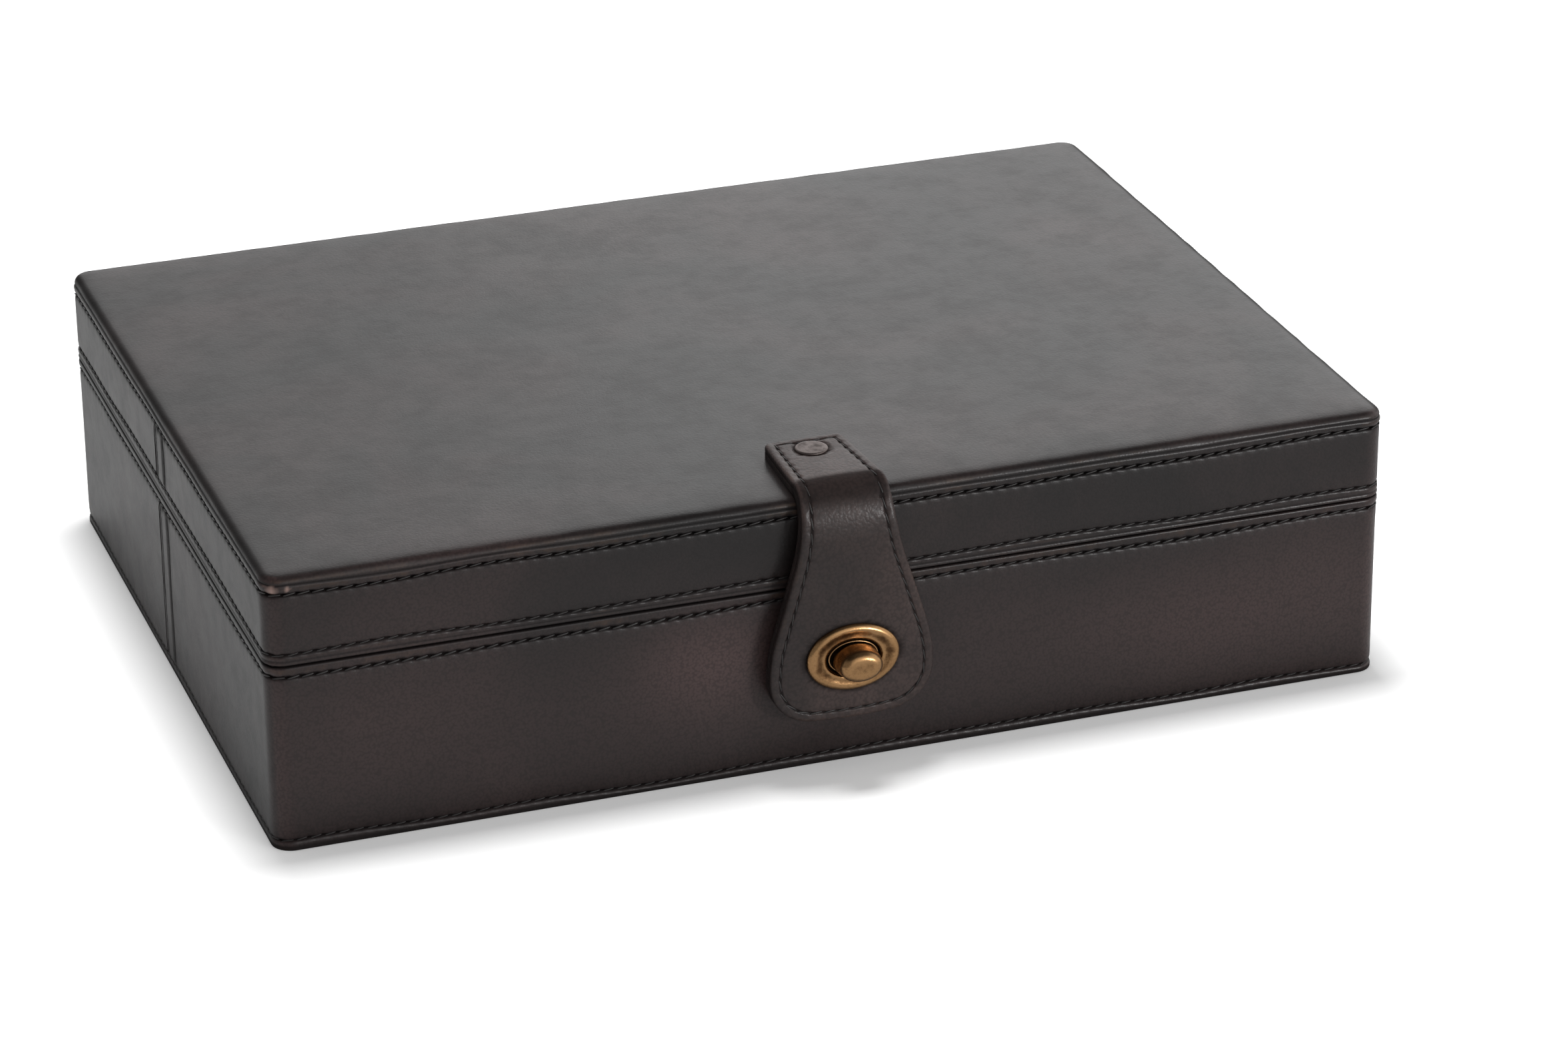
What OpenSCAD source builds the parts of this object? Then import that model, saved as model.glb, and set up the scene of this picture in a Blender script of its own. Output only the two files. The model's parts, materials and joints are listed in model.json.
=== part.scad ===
// Leather document box: a wooden case and lid covered in stitched leather, two stop
// hinges at the back, and a front strap that is held by an oval turn lock.
// Millimetres, +X to the right along the front, -Y to the front, +Z up. The origin is
// the centre of the underside.

/* [Case] */
// Width of the case over its leather bands
box_w = 330; // [260:1:420]
// Depth of the case, front to back, over its leather bands
box_d = 238; // [180:1:320]
// Height of the base up to the top of its rim
base_h = 55; // [54:0.5:80]
// Height of the lid from its rim to its top
lid_h = 27.2; // [24:0.1:40]
// Gap between the two rims when the case is closed
seam_gap = 0.3; // [0.2:0.05:0.6]
// Outer radius of the upright corners
corner_r = 8; // [6:0.5:14]
// Thickness of the wooden walls
wall_t = 6; // [5:0.5:8]
// Thickness of the wooden floor
floor_t = 4; // [3:0.5:6]
// Thickness of the wooden lid top
top_t = 4; // [3:0.5:6]

/* [Leather] */
// Thickness of the leather
leather_t = 1.5; // [1:0.1:2]
// How far the stitched bands stand proud of the side panels
band_proud = 0.3; // [0.1:0.05:0.6]
// Height of the band that the lid's top leather turns down
top_band_h = 5.8; // [4:0.1:8]
// Height of the lid's rim band
lid_band_h = 4; // [3:0.1:6]
// Height of the base's rim band
base_band_h = 3; // [2.5:0.1:6]
// Height of the band that the bottom leather turns up
bottom_band_h = 2.6; // [2:0.1:6]
// Radius of the lid's top edge
edge_r = 2.5; // [1.8:0.1:3]
// Radius of the underside edge
foot_r = 0.8; // [0.6:0.1:1.4]
// Width of the lap where the two side leathers meet, at the middle of each end
lap_w = 12; // [8:0.5:20]

/* [Lining] */
// Thickness of the wall lining
lining_t = 1; // [0.6:0.1:1.6]
// Thickness of the padded floor and top linings
pad_t = 1.5; // [1:0.1:3]
// How far the rim leather turns down inside the walls
turn_in_h = 8; // [5:0.5:10]

/* [Hinges] */
// Distance of the middle of each hinge from the end of the case
hinge_inset = 65; // [45:1:80]
// Length of a hinge
hinge_l = 40; // [30:1:50]
// Radius of the hinge barrel
barrel_r = 2.3; // [2:0.1:3]
// Radius of the hinge pin
hinge_pin_r = 1.2; // [0.8:0.1:1.3]
// Running clearance round the hinge pin
pin_clear = 0.05; // [0.03:0.01:0.08]
// Angle at which the hinge stops hold the lid open
lid_open = 100; // [90:1:110]
// How far the stop lips reach from the hinge axis
lip_reach = 6; // [5:0.1:7]
// Thickness of the stop lips
lip_t = 1.2; // [0.8:0.1:1.5]
// Number of barrel knuckles in a hinge
knuckles = 5; // [3:2:7]

/* [Screws] */
// Radius of a hinge screw's shank
screw_r = 1.1; // [0.8:0.1:1.2]
// Radius of a hinge screw's countersunk head
screw_head_r = 2.2; // [1.8:0.1:2.4]
// Length of a hinge screw
screw_l = 10; // [7:0.5:12]
// Spacing of the hinge screws
screw_pitch = 14; // [10:1:14]

/* [Strap] */
// Thickness of each of the strap's two leather layers
strap_t = 2; // [1.5:0.1:2.5]
// Width of the strap at its riveted end
strap_end_w = 23; // [20:0.5:26]
// Width of the strap where it bends over the lid
strap_neck_w = 26.5; // [25:0.5:34]
// Width of the strap round the lock
strap_hip_w = 48.5; // [44:0.5:60]
// Radius of the strap's lower corners
strap_corner_r = 12.5; // [10:0.5:13]
// How far the strap reaches below the lock's centre
strap_tail = 19.2; // [18:0.1:24]
// How far the strap reaches back over the lid from the front
strap_back = 31; // [26:0.5:50]
// Gap between the strap and the front of the lid
strap_gap = 0.5; // [0.4:0.1:1]
// Angle of the tight bend over the lid's edge, up to the flex line
bend_a = 60; // [55:1:70]
// Gap between the strap and the front panel at the lock
strap_stand = 3.3; // [3.1:0.1:5]
// Distance from the strap's riveted end to its rivet
rivet_inset = 8; // [6:0.5:10]
// Radius of the rivet's flat cap
rivet_cap_r = 4.7; // [4:0.1:5.2]
// Radius of the rivet's post
rivet_r = 1.6; // [1.2:0.1:2]

/* [Lock] */
// Height of the lock's centre above the underside
lock_z = 35.5; // [28:0.5:40]
// Width of the oval face plate on the strap
face_w = 27.5; // [26:0.5:32]
// Height of the oval face plate on the strap
face_h = 20; // [18:0.5:23]
// Thickness of the face plate at its crown
face_t = 1.7; // [1.2:0.1:2.2]
// Width of the oval slot
slot_w = 16; // [15.2:0.2:17]
// Height of the oval slot
slot_h = 11; // [10.8:0.2:12]
// Wall of the collar that passes through the strap
collar_t = 0.6; // [0.4:0.1:0.8]
// Clearance of the parts that pass through the slot
slot_clear = 1; // [0.8:0.1:1.5]
// Thickness of the lock's base plate
base_plate_t = 1.5; // [1:0.1:1.9]
// Width of the turn button's head
button_w = 13.4; // [12:0.1:14]
// Height of the turn button's head
button_h = 10; // [9:0.1:10.2]
// Thickness of the turn button's head
button_t = 6.9; // [5:0.1:8]
// Radius of the turn button's round neck
neck_r = 4.2; // [3:0.1:4.4]
// Radius of the turn button's spindle
spindle_r = 2; // [1.6:0.1:2.2]
// Running clearance round the spindle
spindle_clear = 0.05; // [0.03:0.01:0.08]
// Thickness of the spindle's retaining washer
washer_t = 1; // [0.6:0.1:1.2]
// Radius of the spindle's retaining washer
washer_r = 4; // [3.4:0.1:4.6]

/* [Hidden] */
$fn = 64;

// Colours
leather = [0.16, 0.14, 0.14];
strap_leather = [0.20, 0.17, 0.17];
wood = [0.72, 0.58, 0.40];
lining = [0.45, 0.33, 0.24];
brass = [0.66, 0.48, 0.26];

// Small slack that keeps fixed curved fits from touching
fit = 0.02;
// Overshoot of a cutting tool past the faces that it opens
cut = 1;

// The wooden case inside its skin
skin_t = leather_t + band_proud;
core_w = box_w - 2 * skin_t;
core_d = box_d - 2 * skin_t;
core_r = corner_r - skin_t;
inner_w = core_w - 2 * wall_t;
inner_d = core_d - 2 * wall_t;
front_y = -box_d / 2;
panel_y = front_y + band_proud;
back_y = box_d / 2;

// Heights of the closed case, from the underside up
base_core_z = leather_t;
base_core_top = base_h - leather_t;
lid_z = base_h + seam_gap;
lid_top = lid_z + lid_h;
lid_core_z = lid_z + leather_t;
lid_core_top = lid_top - leather_t;

// Rounding of the leather's edges: at the seam, and along the stitched rows
seam_r = 1.3;
row_r = 0.6;

// A thin skived ridge runs along each lap
lap_y = 2;

// Hinge, whose leaves are as thick as the rim leather that they are let into
hinge_x = box_w / 2 - hinge_inset;
axis_y = back_y + barrel_r + 0.3;
axis_z = base_h + seam_gap / 2;
leaf_t = leather_t;
leaf_y = back_y - skin_t - wall_t + 0.4;
leaf_slack = 0.3;
knuckle_gap = 0.15;
knuckle_l = (hinge_l - (knuckles - 1) * knuckle_gap) / knuckles;
lip_clear = 0.25;
stop_slack = 0.2;
screw_y = back_y - skin_t - wall_t / 2;

// Strap: flat on the lid, a tight bend over the lid's edge up to the flex line, a wide
// bend that relaxes outwards, and a straight end at the lock
strap_full_t = 2 * strap_t;
bend_r = edge_r + strap_gap;
bend = [front_y + edge_r, lid_top - bend_r];
bend_out = [-sin(bend_a), cos(bend_a)];
lock_face_y = panel_y - strap_stand;
relaxed_r = ((bend + bend_r * bend_out)[0] - lock_face_y) / (1 - sin(bend_a));
relaxed = bend + (bend_r - relaxed_r) * bend_out;
root_y = front_y + strap_back;
end_z = lock_z - strap_tail;
hip_z = end_z + strap_corner_r + 1.5;
hip_x = strap_hip_w / 2 - strap_corner_r;
hip_drop = hip_z - end_z;
tail_r = (hip_x * hip_x + hip_drop * hip_drop - strap_corner_r * strap_corner_r)
    / (2 * (hip_drop - strap_corner_r));
tail_a = atan2(hip_x, tail_r - hip_drop);
rivet_y = root_y - rivet_inset;
rivet_cap_t = 0.6;
burr_r = rivet_cap_r - 0.5;
burr_t = 1;
burr_z = lid_core_top - top_t + 0.5;

// Lock, measured outwards from the front panel. The base plate, the boss, the strap
// and the button are stacked along the lock's axis.
strap_in = strap_stand;
strap_out = strap_in + strap_full_t;
back_plate_t = 0.8;
boss_w = slot_w - 2 * slot_clear;
boss_h = slot_h - 2 * slot_clear;
boss_out = strap_out + 0.1;
neck_in = boss_out + 0.3;
head_in = strap_out + face_t + 0.5;
head_out = head_in + button_t;
hole_w = slot_w + 2 * collar_t + 0.2;
hole_h = slot_h + 2 * collar_t + 0.2;
base_plate_w = face_w - 2.5;
base_plate_h = face_h - 2;
lock_screw_x = (base_plate_w + boss_w) / 4 + 0.2;
lock_screw_r = 1;
lock_screw_head_r = 1.9;
lock_screw_l = 7.5;
// A blind pocket inside the front wall holds the end of the spindle
pocket_r = washer_r + 1.5;
pocket_d = 4;
spring_t = 0.8;
board_out = leather_t;
pocket_in = -board_out - wall_t + pocket_d;
spindle_in = pocket_in - spring_t - washer_t - 1;

// Flat shapes

function ellipse(w, h, n = 48) = [for (i = [0:n - 1]) [w / 2 * cos(360 * i / n), h / 2 * sin(360 * i / n)]];
function arc(c, r, a0, a1, n) = [for (i = [0:n]) let (a = a0 + (a1 - a0) * i / n) c + r * [cos(a), sin(a)]];
function ease(t) = (1 - cos(180 * t)) / 2;
function flipped(points) = [for (i = [len(points) - 1:-1:0]) [-points[i][0], points[i][1]]];

// Rectangle with round corners
module round_rect(w, d, r) {
    union() {
        square([w - 2 * r, d], center = true);
        square([w, d - 2 * r], center = true);
        for (x = [-1, 1], y = [-1, 1]) translate([x * (w / 2 - r), y * (d / 2 - r)]) circle(r);
    }
}

// Rectangle from the origin, with its two outer corners (away from x = 0) rounded
module cheek(t, h, low_r, high_r) {
    intersection() {
        square([t, h]);
        union() {
            translate([0, low_r]) square([t, h - low_r - high_r]);
            translate([t - low_r, low_r]) circle(low_r);
            translate([t - high_r, h - high_r]) circle(high_r);
            square([t - low_r, h / 2]);
            translate([0, h / 2]) square([t - high_r, h / 2]);
        }
    }
}

// Sweeps a flat profile round a rectangle with round corners. In the profile, x is the
// distance outwards from the rectangle and y is the height.
module sweep_round(w, d, r) {
    for (turn = [0:3]) rotate([0, 0, 90 * turn]) {
        run = (turn % 2 == 0 ? w : d) - 2 * r;
        away = (turn % 2 == 0 ? d : w) / 2;
        translate([-run / 2, -away, 0]) rotate([90, 0, 90]) mirror([1, 0, 0]) linear_extrude(run) children();
        translate([-run / 2, r - away, 0]) rotate([0, 0, 180]) rotate_extrude(angle = 90)
            translate([r, 0]) children();
    }
}

// Stands a flat shape up: its x stays x, its y becomes height, and it is extruded
// outwards from the front panel between two distances
module on_front(from, to) {
    translate([0, panel_y - from, lock_z]) rotate([90, 0, 0]) linear_extrude(to - from) children();
}

// Extrudes a side view, drawn as (y, z), across the given width about the middle
module across(w) {
    translate([-w / 2, 0, 0]) rotate([90, 0, 90]) linear_extrude(w) children();
}

// Wooden case

module core_block(z, h) {
    translate([0, 0, z]) linear_extrude(h) round_rect(core_w, core_d, core_r);
}

module long_board(side, z, h) {
    intersection() {
        core_block(z, h);
        translate([-core_w / 2, side > 0 ? core_d / 2 - wall_t : -core_d / 2, z])
            cube([core_w, wall_t, h]);
    }
}

module short_board(side, z, h) {
    translate([side > 0 ? core_w / 2 - wall_t : -core_w / 2, -inner_d / 2, z])
        cube([wall_t, inner_d, h]);
}

module flat_board(z, h) {
    translate([-inner_w / 2, -inner_d / 2, z]) cube([inner_w, inner_d, h]);
}

// Row of screw positions along both hinges
module at_hinge_screws() {
    for (side = [-1, 1], i = [-1, 1]) translate([side * hinge_x + i * screw_pitch, screw_y, 0]) children();
}

module base_floor_board() {
    color(wood) flat_board(base_core_z, floor_t);
}

// The front wall is drilled for the lock: a spindle hole, a pocket for the washers
// and two screw holes
module base_front_board() {
    color(wood) difference() {
        long_board(-1, base_core_z, base_core_top - base_core_z);
        lock_bore(-board_out - wall_t - cut, -board_out + cut, spindle_r + 0.3);
        lock_bore(-board_out - wall_t - cut, pocket_in, pocket_r);
        at_lock_screws() lock_bore(base_plate_t - lock_screw_l - fit, cut, lock_screw_r + fit);
    }
}

module base_back_board() {
    color(wood) difference() {
        long_board(1, base_core_z, base_core_top - base_core_z);
        at_hinge_screws() translate([0, 0, base_h - screw_l - fit]) cylinder(r = screw_r + fit, h = screw_l);
    }
}

module base_left_board() {
    color(wood) short_board(-1, base_core_z, base_core_top - base_core_z);
}

module base_right_board() {
    color(wood) short_board(1, base_core_z, base_core_top - base_core_z);
}

// The lid's top board is drilled for the strap's rivet, with a pocket for its burr
module lid_top_board() {
    color(wood) difference() {
        flat_board(lid_core_top - top_t, top_t);
        translate([0, rivet_y, lid_core_top - top_t - cut]) {
            cylinder(r = rivet_r + fit, h = top_t + 2 * cut);
            cylinder(r = burr_r + fit, h = cut + burr_t + 0.5);
        }
    }
}

module lid_front_board() {
    color(wood) long_board(-1, lid_core_z, lid_core_top - lid_core_z);
}

module lid_back_board() {
    color(wood) difference() {
        long_board(1, lid_core_z, lid_core_top - lid_core_z);
        at_hinge_screws() translate([0, 0, lid_z + fit]) cylinder(r = screw_r + fit, h = screw_l);
    }
}

module lid_left_board() {
    color(wood) short_board(-1, lid_core_z, lid_core_top - lid_core_z);
}

module lid_right_board() {
    color(wood) short_board(1, lid_core_z, lid_core_top - lid_core_z);
}

// Leather covering

// Flat sheet with its edge turned up round the walls as a stitched band
module base_bottom_leather() {
    color(leather) union() {
        linear_extrude(leather_t) round_rect(core_w, core_d, core_r);
        sweep_round(core_w, core_d, core_r) cheek(skin_t, bottom_band_h, foot_r, row_r);
    }
}

// Flat sheet with its edge turned down round the lid as a stitched band
module lid_top_leather() {
    color(leather) difference() {
        union() {
            translate([0, 0, lid_core_top]) linear_extrude(leather_t)
                round_rect(core_w + 2 * (skin_t - edge_r), core_d + 2 * (skin_t - edge_r), core_r + skin_t - edge_r);
            translate([0, 0, lid_top - top_band_h]) sweep_round(core_w, core_d, core_r) lid_edge();
        }
        translate([0, rivet_y, lid_core_top - cut]) cylinder(r = rivet_r + fit, h = leather_t + 2 * cut);
    }
}

// Section of the lid's upper edge: a round corner over the corner of the wood
module lid_edge() {
    low = top_band_h - leather_t;
    union() {
        difference() {
            union() {
                translate([skin_t - edge_r, top_band_h - edge_r]) circle(edge_r);
                translate([skin_t - edge_r - 1, low]) square([1, leather_t]);
                translate([0, row_r]) square([skin_t, top_band_h - edge_r - row_r]);
            }
            translate([-2 * edge_r, 0]) square([2 * edge_r, low]);
        }
        square([skin_t - row_r, top_band_h - edge_r]);
        translate([skin_t - row_r, row_r]) circle(row_r);
    }
}

// Side leather of one half, front (-1) or back (1). At each end of the case it runs to
// the lap, where a skived ridge covers the joint.
module side_leather(side, z0, z1) {
    intersection() {
        translate([0, 0, z0]) sweep_round(core_w, core_d, core_r) square([leather_t, z1 - z0]);
        translate([-box_w, side < 0 ? -box_d : lap_y + lap_w / 2, z0 - cut])
            cube([2 * box_w, side < 0 ? box_d + lap_y + lap_w / 2 : box_d, z1 - z0 + 2 * cut]);
    }
    // the ridge is sunk half into the leather that carries it
    if (side < 0) for (end = [-1, 1])
        translate([end * (box_w / 2 - (band_proud + leather_t / 2) / 2), lap_y, (z0 + z1) / 2])
            cube([band_proud + leather_t / 2, lap_w, z1 - z0], center = true);
}

module base_front_leather() {
    color(leather) difference() {
        side_leather(-1, bottom_band_h, base_h - base_band_h);
        lock_bore(-cut - leather_t, cut, spindle_r + 0.3);
        at_lock_screws() lock_bore(-cut - leather_t, cut, lock_screw_r + fit);
    }
}

module base_back_leather() {
    color(leather) side_leather(1, bottom_band_h, base_h - base_band_h);
}

module lid_front_leather() {
    color(leather) side_leather(-1, lid_z + lid_band_h, lid_top - top_band_h);
}

module lid_back_leather() {
    color(leather) side_leather(1, lid_z + lid_band_h, lid_top - top_band_h);
}

// Rim leather with its rim at height 0: a round outer band, a fold over the tops of
// the walls, and a part turned in over their inner faces, whose corners are square
module rim_ring(band_h) {
    union() {
        sweep_round(core_w, core_d, core_r) translate([0, -band_h]) cheek(skin_t, band_h, row_r, seam_r);
        translate([0, 0, -leather_t]) linear_extrude(leather_t) difference() {
            round_rect(core_w, core_d, core_r);
            square([inner_w, inner_d], center = true);
        }
        translate([0, 0, -turn_in_h]) linear_extrude(turn_in_h) difference() {
            square([inner_w, inner_d], center = true);
            square([inner_w - 2 * lining_t, inner_d - 2 * lining_t], center = true);
        }
    }
}

// Clear space round both hinges, from the inner edge of the leaf outwards
module hinge_notch(z, h) {
    for (side = [-1, 1])
        translate([side * hinge_x - hinge_l / 2 - leaf_slack, leaf_y - leaf_slack, z])
            cube([hinge_l + 2 * leaf_slack, 20, h]);
}

module base_rim_leather() {
    color(leather) difference() {
        translate([0, 0, base_h]) rim_ring(base_band_h);
        hinge_notch(base_core_top, leather_t + cut);
    }
}

module lid_rim_leather() {
    color(leather) difference() {
        translate([0, 0, lid_z]) mirror([0, 0, 1]) rim_ring(lid_band_h);
        hinge_notch(lid_z - cut, leather_t + cut);
    }
}

// Lining

module wall_lining(z0, z1) {
    translate([0, 0, z0]) linear_extrude(z1 - z0) difference() {
        square([inner_w, inner_d], center = true);
        square([inner_w - 2 * lining_t, inner_d - 2 * lining_t], center = true);
    }
}

module pad(z) {
    translate([0, 0, z + pad_t / 2])
        cube([inner_w - 2 * lining_t, inner_d - 2 * lining_t, pad_t], center = true);
}

module base_wall_lining() {
    color(lining) wall_lining(base_core_z + floor_t, base_h - turn_in_h);
}

module base_floor_lining() {
    color(lining) pad(base_core_z + floor_t);
}

module lid_wall_lining() {
    color(lining) wall_lining(lid_z + turn_in_h, lid_core_top - top_t);
}

module lid_top_lining() {
    color(lining) pad(lid_core_top - top_t - pad_t);
}

// Hinges

// Places a part of a hinge so that its length runs along X about its middle
module at_hinge(side) {
    translate([side * hinge_x, axis_y, axis_z]) children();
}

// Start of a knuckle along the hinge
function knuckle_x(i) = -hinge_l / 2 + i * (knuckle_l + knuckle_gap);

// Side view of a leaf, drawn as (y, z) about the hinge axis: the flat leaf, the barrel
// and the stop lip behind it
module leaf_side_view(upper) {
    flip = upper ? 1 : -1;
    union() {
        circle(barrel_r);
        translate([leaf_y - axis_y, upper ? seam_gap / 2 : -seam_gap / 2 - leaf_t]) square([axis_y - leaf_y, leaf_t]);
        rotate(flip * (lid_open + stop_slack) / 2) translate([0, upper ? 0 : -lip_t]) square([lip_reach, lip_t]);
    }
}

// One leaf. The base leaf has the outer knuckles, and the lid leaf those between them
// and a looser bore. Round the other leaf's knuckles the barrel is cut clear.
module hinge_leaf(side, upper) {
    bore = hinge_pin_r + (upper ? pin_clear : fit / 2);
    difference() {
        at_hinge(side) translate([-hinge_l / 2, 0, 0]) rotate([90, 0, 90]) linear_extrude(hinge_l)
            leaf_side_view(upper);
        for (i = [(upper ? 0 : 1):2:knuckles - 1]) {
            low = i == 0 ? knuckle_x(i) - cut : knuckle_x(i) - knuckle_gap;
            high = knuckle_x(i) + knuckle_l + (i == knuckles - 1 ? cut : knuckle_gap);
            at_hinge(side) translate([low, 0, 0]) rotate([0, 90, 0])
                cylinder(r = barrel_r + lip_clear, h = high - low);
        }
        at_hinge(side) rotate([0, 90, 0]) translate([0, 0, -hinge_l / 2 - cut])
            cylinder(r = bore, h = hinge_l + 2 * cut);
        at_hinge_screws() screw_hole(upper);
    }
}

// Countersunk hole through a leaf, with the head's wide end on the rim side
module screw_hole(upper) {
    translate([0, 0, axis_z]) mirror([0, 0, upper ? 0 : 1]) translate([0, 0, seam_gap / 2])
        screw_form(fit, cut);
}

// Screw standing on its head's flat: a cone and a shank, grown by a margin
module screw_form(grow, lead) {
    rotate_extrude() polygon([
        [0, -lead], [screw_head_r + grow, -lead], [screw_head_r + grow, 0.1 + grow],
        [screw_r + grow, 0.1 + screw_head_r - screw_r + grow], [screw_r + grow, screw_l + grow], [0, screw_l + grow]
    ]);
}

// Screw with a straight driver slot
module hinge_screw() {
    difference() {
        screw_form(0, 0);
        translate([-screw_head_r, -0.25, -cut]) cube([2 * screw_head_r, 0.5, cut + 0.6]);
    }
}

module left_hinge_base_leaf() {
    color(brass) hinge_leaf(-1, false);
}

module left_hinge_lid_leaf() {
    color(brass) hinge_leaf(-1, true);
}

module left_hinge_pin() {
    color(brass) at_hinge(-1) hinge_pin();
}

module right_hinge_base_leaf() {
    color(brass) hinge_leaf(1, false);
}

module right_hinge_lid_leaf() {
    color(brass) hinge_leaf(1, true);
}

module right_hinge_pin() {
    color(brass) at_hinge(1) hinge_pin();
}

module hinge_pin() {
    rotate([0, 90, 0]) translate([0, 0, -hinge_l / 2]) cylinder(r = hinge_pin_r, h = hinge_l);
}

module hinge_base_screws() {
    color(brass) at_hinge_screws() translate([0, 0, base_h]) mirror([0, 0, 1]) hinge_screw();
}

module hinge_lid_screws() {
    color(brass) at_hinge_screws() translate([0, 0, lid_z]) hinge_screw();
}

// Strap

// Side view of the part on the lid: flat, then round the lid's edge to the flex line.
// low and high are distances from the strap's inner face.
module root_side_view(low, high) {
    reach = 2 * (bend_r + high);
    union() {
        translate([bend[0], lid_top + low]) square([root_y - bend[0], high - low]);
        translate(bend) intersection() {
            difference() {
                circle(bend_r + high);
                circle(bend_r + low);
            }
            polygon([[0, 0], [0, reach], [-reach, reach], reach * bend_out]);
        }
    }
}

// Plan view of the part on the lid: it widens from the riveted end to the bend
module root_plan() {
    r = 2;
    half = strap_end_w / 2;
    side = concat(
        arc([half - r, root_y - r], r, 90, 0, 4),
        [[strap_neck_w / 2, front_y], [strap_neck_w / 2, front_y - 2 * strap_full_t]]
    );
    polygon(concat(side, flipped(side)));
}

module strap_root(low, high) {
    difference() {
        intersection() {
            across(strap_neck_w + 2 * cut) root_side_view(low, high);
            translate([0, 0, bend[1]]) linear_extrude(bend_r + strap_full_t + cut) root_plan();
        }
        translate([0, rivet_y, bend[1]]) cylinder(r = rivet_r + fit, h = 2 * bend_r + strap_full_t);
    }
}

// Side view of the hanging flap: it relaxes outwards past the rim bands, then hangs
// straight at the lock
module flap_side_view(low, high) {
    n = 8;
    polygon(concat(
        arc(relaxed, relaxed_r + low, 90 + bend_a, 180, n),
        [[lock_face_y - low, end_z - cut], [lock_face_y - high, end_z - cut]],
        arc(relaxed, relaxed_r + high, 180, 90 + bend_a, n)
    ));
}

// Front view of the flap, a bell: straight sides that flare to round hips and a
// gently bowed end
module flap_front_view() {
    n = 14;
    top = bend[1];
    neck = strap_neck_w / 2;
    hip = strap_hip_w / 2;
    side = concat(
        [[neck, lid_top + strap_full_t]],
        [for (i = [0:n]) [neck + (hip - neck) * ease(i / n), top + (hip_z - top) * i / n]],
        arc([hip_x, hip_z], strap_corner_r, -8, tail_a - 90, 9),
        arc([0, end_z + tail_r], tail_r, tail_a - 93, -90, 4)
    );
    polygon(concat(side, flipped(side)));
}

module strap_flap(low, high) {
    difference() {
        intersection() {
            across(2 * strap_hip_w) flap_side_view(low, high);
            translate([0, front_y + cut, 0]) rotate([90, 0, 0])
                linear_extrude(strap_stand + strap_full_t + 2 * cut + skin_t) flap_front_view();
        }
        on_front(0, strap_out + cut) polygon(ellipse(hole_w, hole_h));
    }
}

module strap_root_outer() {
    color(strap_leather) strap_root(strap_t, 2 * strap_t);
}

module strap_root_backing() {
    color(strap_leather) strap_root(0, strap_t);
}

module strap_flap_outer() {
    color(strap_leather) strap_flap(strap_t, 2 * strap_t);
}

module strap_flap_backing() {
    color(strap_leather) strap_flap(0, strap_t);
}

// Rivet with a flat cap, its edge broken by a small cone, and a post through the
// strap, the lid leather and the lid's top board
module strap_rivet() {
    cap_z = lid_top + strap_full_t;
    color(brass) translate([0, rivet_y, 0]) union() {
        translate([0, 0, cap_z]) cylinder(r = rivet_cap_r, h = rivet_cap_t / 2);
        translate([0, 0, cap_z + rivet_cap_t / 2])
            cylinder(r1 = rivet_cap_r, r2 = rivet_cap_r - 0.5, h = rivet_cap_t / 2);
        translate([0, 0, burr_z - 0.3]) cylinder(r = rivet_r, h = cap_z - burr_z + 0.4);
    }
}

module strap_rivet_burr() {
    color(brass) translate([0, rivet_y, burr_z]) difference() {
        cylinder(r = burr_r, h = burr_t);
        translate([0, 0, -cut]) cylinder(r = rivet_r + fit, h = burr_t + 2 * cut);
    }
}

// Lock

// Round bore on the lock's axis between two distances from the front panel
module lock_bore(from, to, r) {
    translate([0, panel_y - from, lock_z]) rotate([90, 0, 0]) cylinder(r = r, h = to - from);
}

module at_lock_screws() {
    for (side = [-1, 1]) translate([side * lock_screw_x, 0, 0]) children();
}

// Slice of an oval at a distance from the front panel, for blending
module oval_slice(w, h, at) {
    on_front(at, at + 0.01) polygon(ellipse(w, h));
}

// Domed oval ring round the slot, with a collar that goes through the strap
module lock_face_plate() {
    rim_t = 0.6;
    color(brass) difference() {
        union() {
            on_front(strap_out, strap_out + rim_t) polygon(ellipse(face_w, face_h));
            hull() {
                oval_slice(face_w - 0.2, face_h - 0.2, strap_out + rim_t / 2);
                oval_slice(face_w - 1, face_h - 1, strap_out + rim_t + 0.5);
                oval_slice(face_w - 2.8, face_h - 2.8, strap_out + face_t - 0.01);
            }
            on_front(strap_in - back_plate_t, strap_out + rim_t / 2)
                polygon(ellipse(slot_w + 2 * collar_t, slot_h + 2 * collar_t));
        }
        on_front(0, strap_out + 2 * face_t) polygon(ellipse(slot_w, slot_h));
        hull() {
            oval_slice(slot_w + 0.2, slot_h + 0.2, strap_out + face_t / 2);
            oval_slice(slot_w + 6, slot_h + 6, strap_out + 2 * face_t);
        }
    }
}

// Oval washer behind the strap, which the collar is turned over
module lock_back_plate() {
    color(brass) on_front(strap_in - back_plate_t, strap_in) difference() {
        polygon(ellipse(face_w - 3, face_h - 3));
        polygon(ellipse(hole_w, hole_h));
    }
}

// Plate on the front panel with an oval boss that fills the slot and guides the
// spindle
module lock_base_plate() {
    color(brass) difference() {
        union() {
            on_front(0, base_plate_t) polygon(ellipse(base_plate_w, base_plate_h));
            on_front(base_plate_t, boss_out) polygon(ellipse(boss_w, boss_h));
        }
        lock_bore(-cut, boss_out + cut, spindle_r + spindle_clear);
        at_lock_screws() lock_screw(fit, cut);
    }
}

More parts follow.
